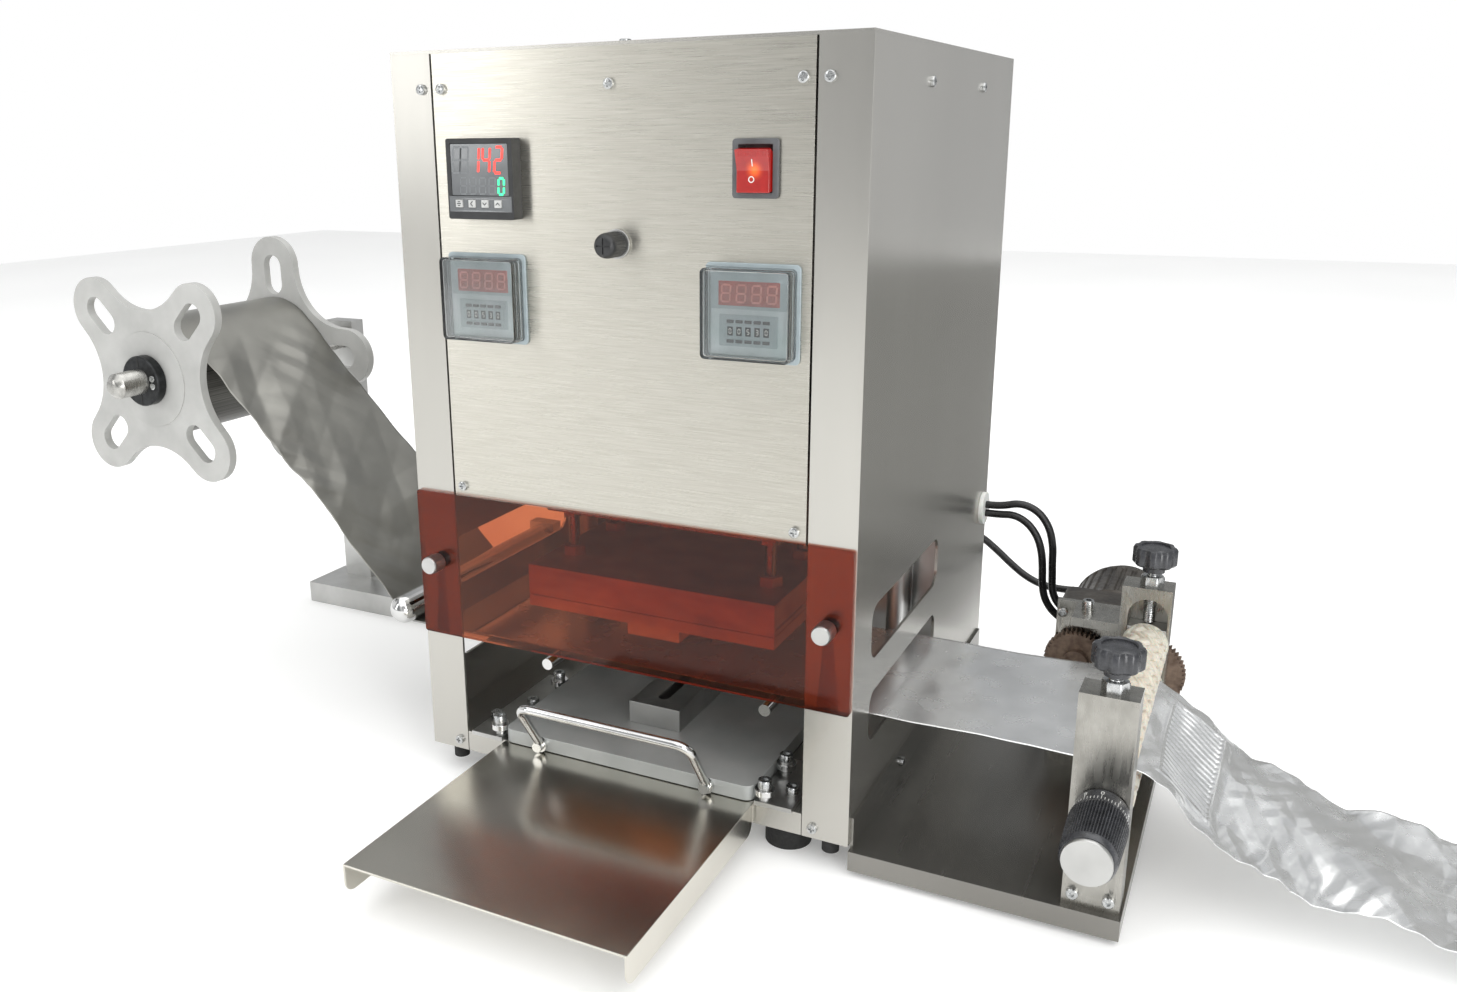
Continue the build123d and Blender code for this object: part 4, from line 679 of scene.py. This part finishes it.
edged("fuse_holder", 0.4, satin_aluminium)
low, high = box("fuse_cap")
fuse_at = np.array([(low[0] + high[0]) / 2, low[1] + 15.9, (low[2] + high[2]) / 2])
flutes = 7.5 - 0.35 * np.maximum(np.cos(np.linspace(0, 2 * np.pi * 18, 144, endpoint=False)), 0)
slot = cross(4.6, 0.9, 144)
fuse_radii = stacked(0, 7.2, flutes, flutes, 7.3, 6.9, 6.2, 5.2, 4.6, slot, slot, 0, steps=144)
fuse_heights = [0, 0, 0.4, 11.0, 12.4, 13.9, 14.9, 15.6, 15.9, 15.9, 15.2, 15.2]
piece("fuse_cap_turned", [turned(fuse_at, FRONT, fuse_radii, fuse_heights, 144)],
      black_abs, "fuse", ("fuse_cap",))

# ---- Drawer and press -----------------------------------------------------------------------------
edged("drawer_plate", 0.7, drawer_grey)
edged("nest_block", 0.5, satin_aluminium)
dress(chrome, "drawer_handle", "film_rods")
edged("bearing_mounts", 0.4, satin_aluminium)
for number in range(1, 5):
    edged(f"guide_bearing_{number}", 0.35, chrome)
# Rims and sockets of the screws over the four bearings, and of three more screws beside them.
mounts_top = box("bearing_mounts")[1][2]
rims = [(*centre_of(f"guide_bearing_{number}")[:2], mounts_top) for number in range(1, 5)]
rims += [(114, -155, 43), (-102, -121, 43), (-114, -150, 43)]
socket = hexagon(2.3)
rim_radii = stacked(4.3, 4.45, 4.45, 4.1, 2.9, socket, socket, 0, steps=48)
rim_grids = [turned((x, y, z - 3.5), UP, rim_radii, [0, 0, 3.9, 4.5, 4.5, 4.5, 3.55, 3.55])
             for x, y, z in rims]
piece("socket_screw_rims", rim_grids, zinc, "machine")
edged("press_frame", 0.6, satin_aluminium)
edged("press_cylinder", 0.8, satin_aluminium)
dress(ground_steel, "platen_carrier")
edged("heater_block", 0.7, bronze)
edged("sealing_die", 0.6, bronze)
block_top = box("heater_block")[1][2]
hangers = [(x, y) for x in (-75, 75) for y in (-100, -40)]
piece("hanger_nuts", [nut((x, y, block_top + 0.05), UP, 8.5, 6.5, 4.0) for x, y in hangers],
      bronze, "platen")

# ---- Reel and film --------------------------------------------------------------------------------
edged("reel_flanges", 0.8, flange_grey, segments=3)
dress(wound_foil, "film_roll")
edged("reel_stand", 0.8, satin_aluminium)
low, high = box("reel_shaft")
reel_low, reel_high = box("film_roll")
reel_axis = (reel_low + reel_high) / 2
roll_radius = (reel_high[2] - reel_low[2]) / 2
shaft_at = np.array([reel_axis[0], low[1], reel_axis[2]])
shaft_long = high[1] - low[1]
# The axle: a chamfered nose, a thick run, a thinner journal through the stand and a flange behind.
journal_from, journal_to = 255, shaft_long - 8
piece("reel_axle", [turned(shaft_at, BACK, [0, 5.4, 6.4, 9.7, 10, 10, 6, 6, 10, 10, 9, 0],
                           [0, 0, 0.6, 4.0, 4.6, journal_from, journal_from, journal_to, journal_to,
                            shaft_long - 0.6, shaft_long, shaft_long], 64)],
      ground_steel, "reel", ("reel_shaft",))
# Split collars, each with a slit above and below, drawn as a thin black plate of painted shade, and a
# pair of screws on either side of its bore.
for name, near in (("front", reel_low[1] - 17.4), ("rear", reel_high[1] + 8.4)):
    start = np.array([reel_axis[0], near, reel_axis[2]])
    piece(f"reel_collar_{name}", [turned(start, BACK, [10, 19, 20, 20, 19, 13.5, 12.6, 10.05, 10],
                                         [0, 0, 1, 8, 9, 9, 8.4, 8.4, 0], 72)],
          blackened, "reel")
    # Each slit is a black plate: painted shade in the gap.
    slit_shade = [plate(start + UP * side * 15.2 + FRONT * 0.05, (0.6, 4.2), 0.3, 0.15, 0.05)
            for side in (-1, 1)]
    piece(f"reel_collar_{name}_slit_shades", slit_shade, rubber, "reel")
    pins = [screw_head(start + side * RIGHT * 14.2 + UP * lift, FRONT, 2.6, 0.9, hexagon(1.2), 0.6)
            for side in (-1, 1) for lift in (-3.0, 3.0)]
    piece(f"reel_collar_{name}_screws", pins, zinc, "reel")

dress(chrome, "guide_roller")
guide_radius = 10.6
guide_axis = centre_of("guide_roller")
guide_axis[1] = 0
FILM_GAP = 0.5                 # roller surface to the middle of the film
film_level = guide_axis[2] - guide_radius - FILM_GAP
film_low, film_high = reel_low[1], reel_high[1]


def along(path, step):
    """Points every step millimetres along a path in the X-Z plane, with their unit normals."""
    run = np.concatenate([[0], np.cumsum(np.linalg.norm(np.diff(path, axis=0), axis=1))])
    at = np.linspace(0, run[-1], max(2, int(run[-1] / step) + 1))
    line = np.stack([np.interp(at, run, path[:, k]) for k in (0, 1)], axis=1)
    slope = np.gradient(line, axis=0)
    slope /= np.linalg.norm(slope, axis=1)[:, None]
    return at, line, np.stack([-slope[:, 1], slope[:, 0]], axis=1)


def folded(s, t, seed, waves, steep):
    """Crumpled foil: triangle waves in many directions, bent by slow sines and each strong in a few
    places only, with a height in proportion to its wavelength."""
    random = np.random.default_rng(seed)
    height = np.zeros(np.broadcast(s, t).shape)
    for wave in waves:
        for _ in range(3):
            angle = random.uniform(-1.2, 1.2)
            bend = wave * 0.35 * np.sin(s / (wave * 1.9) + t / (wave * 2.7) + random.uniform(0, 6))
            phase = ((s + bend) * math.cos(angle) + t * math.sin(angle)) / wave + random.uniform(0, 1)
            where = np.sin(s / (wave * 2.3) + random.uniform(0, 6))
            where = where * np.sin(t / (wave * 1.7) + random.uniform(0, 6))
            height += wave * steep * np.abs((phase % 1.0) * 2 - 1) * np.clip(where + 0.35, 0, 1)
    return height


def foil(name, path, step, lift, finish, thickness=0.12, stands_for=()):
    """A strip of film: the path carried across the film's width, with the rise and the sideways
    shift that lift(s, t) gives. Its points stay above the bench. It returns the piece and its
    length."""
    at, line, normal = along(path, step)
    across = np.linspace(film_low + 0.3, film_high - 0.3, int((film_high - film_low) / step) + 1)
    s, t = at[:, None], across[None, :]
    rise, shift = lift(s, t)
    grid = np.empty((len(at), len(across), 3))
    grid[..., 0] = line[:, None, 0] + rise * normal[:, None, 0]
    grid[..., 1] = t + shift
    grid[..., 2] = np.maximum(line[:, None, 1] + rise * normal[:, None, 1], 0.5)
    obj = piece(name, [grid], finish, "machine", stands_for, closed=False, crease=50)
    wall = obj.modifiers.new("foil_thickness", "SOLIDIFY")
    wall.thickness, wall.offset = thickness * MM, 0.0
    return obj, at[-1]


# The film's straight run touches the roll from above and the guide roller from below. It lies on the
# roll for ROLL_WRAP radians, where its inner end goes 0.35 mm closer, and ends INSIDE mm within the
# left slot.
ROLL_WRAP, INSIDE = 3.4, 12
roll_reach, guide_reach = roll_radius + FILM_GAP, guide_radius + FILM_GAP
gap = guide_axis - reel_axis
distance = math.hypot(gap[0], gap[2])
slope = math.atan2(gap[2], gap[0]) - math.asin((roll_reach + guide_reach) / distance)
wrap_roll = np.linspace(slope + np.pi / 2 + ROLL_WRAP, slope + np.pi / 2, 60)
tighten = np.linspace(-0.35, 0, 60)
on_roll = np.stack([reel_axis[0] + (roll_reach + tighten) * np.cos(wrap_roll),
                    reel_axis[2] + (roll_reach + tighten) * np.sin(wrap_roll)], axis=1)
wrap_guide = np.linspace(slope - np.pi / 2, -np.pi / 2, 14)
on_guide = np.stack([guide_axis[0] + guide_reach * np.cos(wrap_guide),
                     guide_axis[2] + guide_reach * np.sin(wrap_guide)], axis=1)
cabinet_half = box("side_panel_right")[1][0]
infeed_path = np.concatenate([on_roll, on_guide, [[-cabinet_half + INSIDE, film_level]]])
roll_run = roll_reach * ROLL_WRAP
free_run = np.linalg.norm(on_guide[0] - on_roll[-1])


def infeed_lift(s, t):
    """Long slanting creases on the free run, none where the film is tight on a roller."""
    slack = np.clip((s - roll_run) / 40, 0.04, 1) * np.clip((roll_run + free_run - s) / 30, 0.02, 1)
    edge = np.abs(t - (film_low + film_high) / 2) / (film_high - film_low)
    rise = folded(s, t * 1.3, 4, (120, 76, 46, 28), 0.034) - 3.7
    return slack * rise * (0.7 + 0.5 * edge), 0.5 * slack * np.sin(s / 38)


# The infeed strip, with the laminate's colour painted darker as painted shade.
infeed, infeed_long = foil("film_infeed", infeed_path, 1.6, infeed_lift, shaded_foil,
                           stands_for=("film_web",))
nip_low_box, nip_high_box = box("drive_roller")
nip_x = (nip_low_box[0] + nip_high_box[0]) / 2
level_path = np.array([[-cabinet_half + INSIDE, film_level], [cabinet_half, film_level],
                       [nip_x, film_level]])


def level_lift(s, t):
    """A nearly flat web with slow waves beyond the cabinet, pressed flat at the nip."""
    past_slot = np.clip((s - 2 * cabinet_half + 20) / 40, 0, 1)
    before_nip = np.clip((level_path[-1, 0] + cabinet_half - INSIDE - s) / 12, 0, 1)
    wave = (0.7 * np.sin(s / 21 + t / 33) + 0.5 * np.sin(t / 15 + s / 60)
            + folded(s, t, 9, (46, 25), 0.008))
    return past_slot * before_nip * wave, 0.0 * s


web, level_long = foil("film_level", level_path, 2.0, level_lift, bright_foil)


def eased(points, count=24):
    """A smooth path through points: on each span, the cubic whose end slopes follow the neighbours."""
    points = np.array(points, float)
    ends = np.concatenate([[2 * points[0] - points[1]], points, [2 * points[-1] - points[-2]]])
    u = np.linspace(0, 1, count, endpoint=False)[:, None]
    spans = [0.5 * (2 * b + (c - a) * u + (2 * a - 5 * b + 4 * c - d) * u ** 2
                    + (3 * b - a - 3 * c + d) * u ** 3)
             for a, b, c, d in zip(ends, ends[1:], ends[2:], ends[3:])]
    return np.concatenate(spans + [points[-1:]])


tail_steps = [(0, film_level), (19.5, 88.5), (58.5, 60), (106.5, 39), (142.5, 33), (157.5, 29),
              (189.5, 20), (213.5, 7), (231.5, 1.5)]
tail_path = eased([(nip_x + x, z) for x, z in tail_steps])
film_middle = (film_low + film_high) / 2
SEAL_AT, SEAL_HALF = 44, (20, 52)        # past the nip, and half its length and width
RIB_PITCH = 6.0


def seal(s, t, centre, half):
    """A pressed seal: a sine of ribs that run along the film, inside a raised frame whose height is
    a bell curve of the distance from the seal's edge."""
    inside = np.minimum(half[0] - np.abs(s - centre), half[1] - np.abs(t - film_middle))
    inside = np.clip(inside, -2, 4)
    ribs = 0.55 * np.sin((t - film_middle + 0.25 * (s - centre)) * 2 * np.pi / RIB_PITCH)
    return np.where(inside > 2.5, ribs, 0) + 0.9 * np.exp(-((inside - 0.8) / 1.1) ** 2)


def tail_lift(s, t):
    """Crumples that grow away from the nip, with a pressed seal just past the rollers."""
    free = np.clip(s / 35, 0, 1)
    edge = np.abs(t - film_middle) / (film_high - film_low) * 2
    crumple = folded(s, t, 21, (92, 60, 39, 24, 14), 0.058) - 8.0
    beyond = np.maximum(np.abs(s - SEAL_AT) - (SEAL_HALF[0] - 2),
                        np.abs(t - film_middle) - (SEAL_HALF[1] - 2))
    flat = np.clip(1 - beyond / 8, 0, 1)
    rise = free * crumple * (1 - 0.75 * flat) * (0.6 + 0.5 * edge)
    rise = rise + free * seal(s, t, SEAL_AT, SEAL_HALF)
    wander = 2.2 * free * np.sin(s / 27) * edge ** 2 - 1.2 * free * edge
    return rise + free * 2.0 * np.sin(s / 31 + t / 26), -np.sign(t - film_middle) * np.abs(wander)


tail, tail_long = foil("film_tail", tail_path, 1.0, tail_lift, bright_foil)

# ---- Nip rollers and drive ------------------------------------------------------------------------
edged("nip_blocks", 0.5, milled_aluminium)
edged("bearing_sliders", 0.5, satin_aluminium)
edged("drive_bracket", 0.5, milled_aluminium)
edged("gearhead", 0.9, motor_enamel, segments=3)
for gear in ("roller_gear", "pinion_gear"):
    edged(gear, 0.2, gear_rust)


NIP_RADIUS = 14.75
BLOCK_THICK = 21.5


def ribbed_roller(name, node, journal, finish):
    """A silicone roller: flame-shaped ribs whose height follows a triangle wave of angle and of a
    chevron along the axis, between plain steel journals."""
    low, high = box(node)
    inner = box("nip_blocks")
    face = (inner[0][1] + BLOCK_THICK, inner[1][1] - BLOCK_THICK)
    radius = NIP_RADIUS
    middle_z = (low[2] + high[2]) / 2 if node == "pressure_roller" else low[2] + radius
    centre = np.array([nip_x, 0, middle_z])
    steps, rings = 180, 300
    y = np.linspace(face[0], face[1], rings)[:, None]
    angle = np.linspace(0, 2 * np.pi, steps, endpoint=False)[None, :]
    lick = 2.2 * np.abs(((y / 17 + 0.35 * np.sin(angle * 2)) % 1) * 2 - 1)
    wave = np.abs(((angle * 7 / (2 * np.pi) * 2 + y / 23 + lick * 0.45) % 1) * 2 - 1)
    fade = np.clip((y - face[0]) / 3, 0, 1) * np.clip((face[1] - y) / 3, 0, 1)
    body = (radius - 1.9 * fade * np.clip(1 - 1.7 * wave, 0, 1)
            - 0.25 * fade * np.sin(y / 1.7 + angle * 3))
    radii = np.concatenate([stacked(0, radius - 0.8, steps=steps), np.minimum(body, radius),
                            stacked(radius - 0.8, 0, steps=steps)])
    heights = np.concatenate([[face[0], face[0]], y[:, 0], [face[1], face[1]]])
    heights[[0, 1]] -= 0.2
    heights[[-1, -2]] += 0.2
    body_name = nodes[node]["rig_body"]
    piece(name, [turned(centre, BACK, radii, heights, steps)], finish, body_name,
          (node,))
    piece(name + "_journals", [turned(centre, BACK, [0, journal, journal, 0],
                                      [low[1], low[1], high[1], high[1]], 40)],
          ground_steel, body_name)


ribbed_roller("drive_sleeve", "drive_roller", 6.0, silicone)
ribbed_roller("pressure_sleeve", "pressure_roller", 5.0, silicone)

# The dial knob: numbered ring, fluted grip that narrows towards the front, and a bright end disc.
low, high = box("dial_knob")
dial = np.array([(low[0] + high[0]) / 2, high[1], (low[2] + high[2]) / 2])
flutes = 1 - 0.06 * np.clip(np.cos(np.linspace(0, 2 * np.pi * 60, 480, endpoint=False)) + 0.4, 0, 1.4)
piece("dial_scale_ring", [turned(dial, FRONT, [0, 14.6, 15, 15, 14.6, 0],
                                 [0, 0, 0.5, 11.6, 12, 12], 96)],
      knob_black, "drive_roller", ("dial_knob",))
grip = stacked(0, 15.2, 16 * flutes, 15.9 * flutes, 15.2 * flutes, 15.0, 14.6, 13.7, 13.5, 0,
               steps=480)
grip_heights = [12, 12, 13.0, 20, 45, 47.5, 50, 51.6, 51.6, 51.6]
piece("dial_fluted_grip", [turned(dial, FRONT, grip, grip_heights, 480)],
      knob_black, "drive_roller", crease=30)
piece("dial_end_disc", [turned(dial, FRONT, [0, 13.2, 13.3, 12.9, 0],
                               [51, 51, 53.2, 53.9, 53.9], 96)],
      satin_aluminium, "drive_roller")


def on_ring(centre, radius, angle, forward, half, thick=0.12):
    """A small printed plate that lies on the dial's ring, at an angle from its top."""
    out = UP * math.cos(angle) + RIGHT * math.sin(angle)
    side = RIGHT * math.cos(angle) - UP * math.sin(angle)
    return plate(centre + out * radius + FRONT * forward, half, min(half) * 0.4, thick, 0.03, side,
                 np.cross(out, side))


# Fifty divisions, each fifth one longer, and ten numbers.
divisions, numbers = 50, 10
ticks = []
for k in range(divisions):
    long = 2.2 if k % 5 == 0 else 1.2
    ticks.append(on_ring(dial, 14.98, 2 * np.pi * k / divisions, 10.6 - long, (0.14, long)))
for k in range(numbers):
    turn = 2 * np.pi * k / numbers
    out = UP * math.cos(turn) + RIGHT * math.sin(turn)
    side = RIGHT * math.cos(turn) - UP * math.sin(turn)
    for grid in digit(str(k), (0, 0, 0), 1.8, 3.0, 0.42, 0.0, 0.1):
        spots = grid[..., :1] * side + grid[..., 2:3] * BACK - grid[..., 1:2] * out
        ticks.append(dial + out * 14.95 + FRONT * 4.2 + spots)
piece("dial_marks", ticks, white_mark, "drive_roller")

# The star knobs: an eight-lobed grip with a dished top, on a screw whose radius is a triangle wave.
grip_high, thread_pitch = 14, 1.25
for name in ("front", "rear"):
    node = f"star_knob_{name}"
    low, high = box(node)
    centre = np.array([(low[0] + high[0]) / 2, (low[1] + high[1]) / 2, 0])
    base = high[2] - grip_high
    lobes = 13.1 + 0.9 * np.cos(np.linspace(0, 2 * np.pi * 8, 192, endpoint=False))
    lobes = np.minimum(lobes + 0.35, 14.0)
    radii = stacked(0, 7, 7, 10.2, lobes * 0.9, lobes, lobes, lobes * 0.93, 10.2, 9.8, 9.2, 9.2, 0,
                    steps=192)
    heights = [-4, -4, 0.2, 0.6, 0.8, 2.2, 11.6, 13.2, 13.9, 13.9, 13.2, 12.4, 12.6]
    piece(f"star_grip_{name}", [turned(centre + UP * base, UP, radii, heights, 192)],
          knob_black, node, (node,))
    turns = np.linspace(low[2], base - 3, 120)
    thread = 3.95 - 0.3 * np.abs((turns / thread_pitch % 1) * 2 - 1)
    piece(f"star_screw_{name}", [turned(centre, UP, np.concatenate([[0], thread, [0]]),
                                        np.concatenate([[low[2]], turns, [base - 3]]), 32)],
          zinc, node)

# The motor: a ribbed casting with a plain rear cap.
low, high = box("drive_motor")
motor_axis = np.array([centre_of("gearhead")[0] - 0.5, low[1], 82.0])
ribs = 35.6 - 1.3 * (np.abs((np.linspace(0, 30, 240, endpoint=False) % 1) * 2 - 1) > 0.55)
motor_radii = stacked(0, 34.5, 36, ribs, ribs, 36, 35, 31, 30, 30, 28.6, 0, steps=240)
piece("motor_casting", [turned(motor_axis, BACK, motor_radii,
                               [0, 0, 1.5, 3, 56, 57, 62, 62.2, 63, 78.5, 80, 80], 240)],
      motor_enamel, "machine", ("drive_motor",))
# The glands stand where the two front cables end.
glands = [turned((x, high[1] - 9, z), -RIGHT, [0, 4.6, 4.6, 4.0, 3.2, 0],
                 [-11, -11, 0, 0.4, 1.8, 1.8], 32)
          for x, z in ((242, 67.6), (249, 58))]
piece("motor_glands", glands, rubber, "machine")

edged("mains_inlet", 0.4, black_abs)
edged("grommet", 0.8, nylon, segments=3)
edged("air_fitting", 0.4, nickel)

# ---- Floor and light ------------------------------------------------------------------------------
def studio_sheet(name, corners, faces, finish):
    """A plain sheet of the studio, in metres."""
    mesh = bpy.data.meshes.new(name)
    mesh.from_pydata(corners, [], faces)
    mesh.materials.append(finish)
    obj = bpy.data.objects.new(name, mesh)
    bpy.context.scene.collection.objects.link(obj)
    return obj


# Matt white paper that glows a little, so that it stays pale to its far edge.
paper = material("matt_studio_paper", ("#F2F2F1", "#F6F6F5"), (400, 400, 400), (0.9, 0.95),
                 (50, 50, 50), Emission_Color=linear("#FFFFFF"), Emission_Strength=0.2)
floor = studio_sheet("floor", [(-4, -4, 0), (4, -4, 0), (4, 4, 0), (-4, 4, 0)], [(0, 1, 2, 3)],
                     paper)

# A bent grey card behind the right side, which only reflections see: it darkens the side's lower half.
felt = material("grey_felt_card", ("#747472", "#80807E"), (200, 200, 200), (0.9, 0.95),
                (50, 50, 50))
card = studio_sheet("card", [(0.2, 0.24, 0.002), (1.1, 0.24, 0.002), (1.1, 0.6, 0.002),
                             (0.2, 0.6, 0.002), (1.1, 0.6, 0.3), (0.2, 0.6, 0.3)],
                    [(0, 1, 2, 3), (3, 2, 4, 5)], felt)
card.visible_camera = card.visible_diffuse = card.visible_shadow = card.visible_transmission = False


def lamp(name, at, towards, size, power):
    """A soft rectangular lamp that faces a point."""
    light = bpy.data.lights.new(name, "AREA")
    light.shape, light.size, light.size_y, light.energy = "RECTANGLE", size[0], size[1], power
    obj = bpy.data.objects.new(name, light)
    out = unit(np.array(at) - np.array(towards))
    side = unit(np.cross(UP, out))
    spot = np.eye(4)
    spot[:3, :3] = np.stack([side, np.cross(out, side), out], axis=1)
    spot[:3, 3] = at
    obj.matrix_world = Matrix(spot.tolist())
    bpy.context.scene.collection.objects.link(obj)


lamp("window_left", (-1.7, -2.2, 1.3), (0, 0, 0.25), (0.5, 2.0), 10)
lamp("window_right", (1.9, -1.7, 1.3), (0.1, 0, 0.25), (0.5, 1.8), 10)
lamp("low_right", (1.3, -1.6, 0.35), (0, 0, 0.14), (0.8, 0.4), 7)
lamp("ceiling", (0.3, -0.4, 2.6), (0.1, 0, 0), (4.5, 4.5), 75)

world = bpy.data.worlds.new("studio")
bpy.context.scene.world = world
world.use_nodes = True
room = world.node_tree
# The room that the metal reflects: tall soft windows between greyer walls, and a white backdrop.
tall = reach(room, grain(room, (420, 420, 2600), 1.0, "Generated"), 0.0, 1.0, 0.38, 0.62)
walls = between(room, tall, linear("#97999B"), linear("#FFFFFF"))
seen = add(room, "LightPath").outputs["Is Camera Ray"]
backdrop = between(room, seen, walls, linear("#FFFFFF"))
room.links.new(backdrop, room.nodes["Background"].inputs["Color"])
bpy.context.scene.view_settings.view_transform = "Standard"
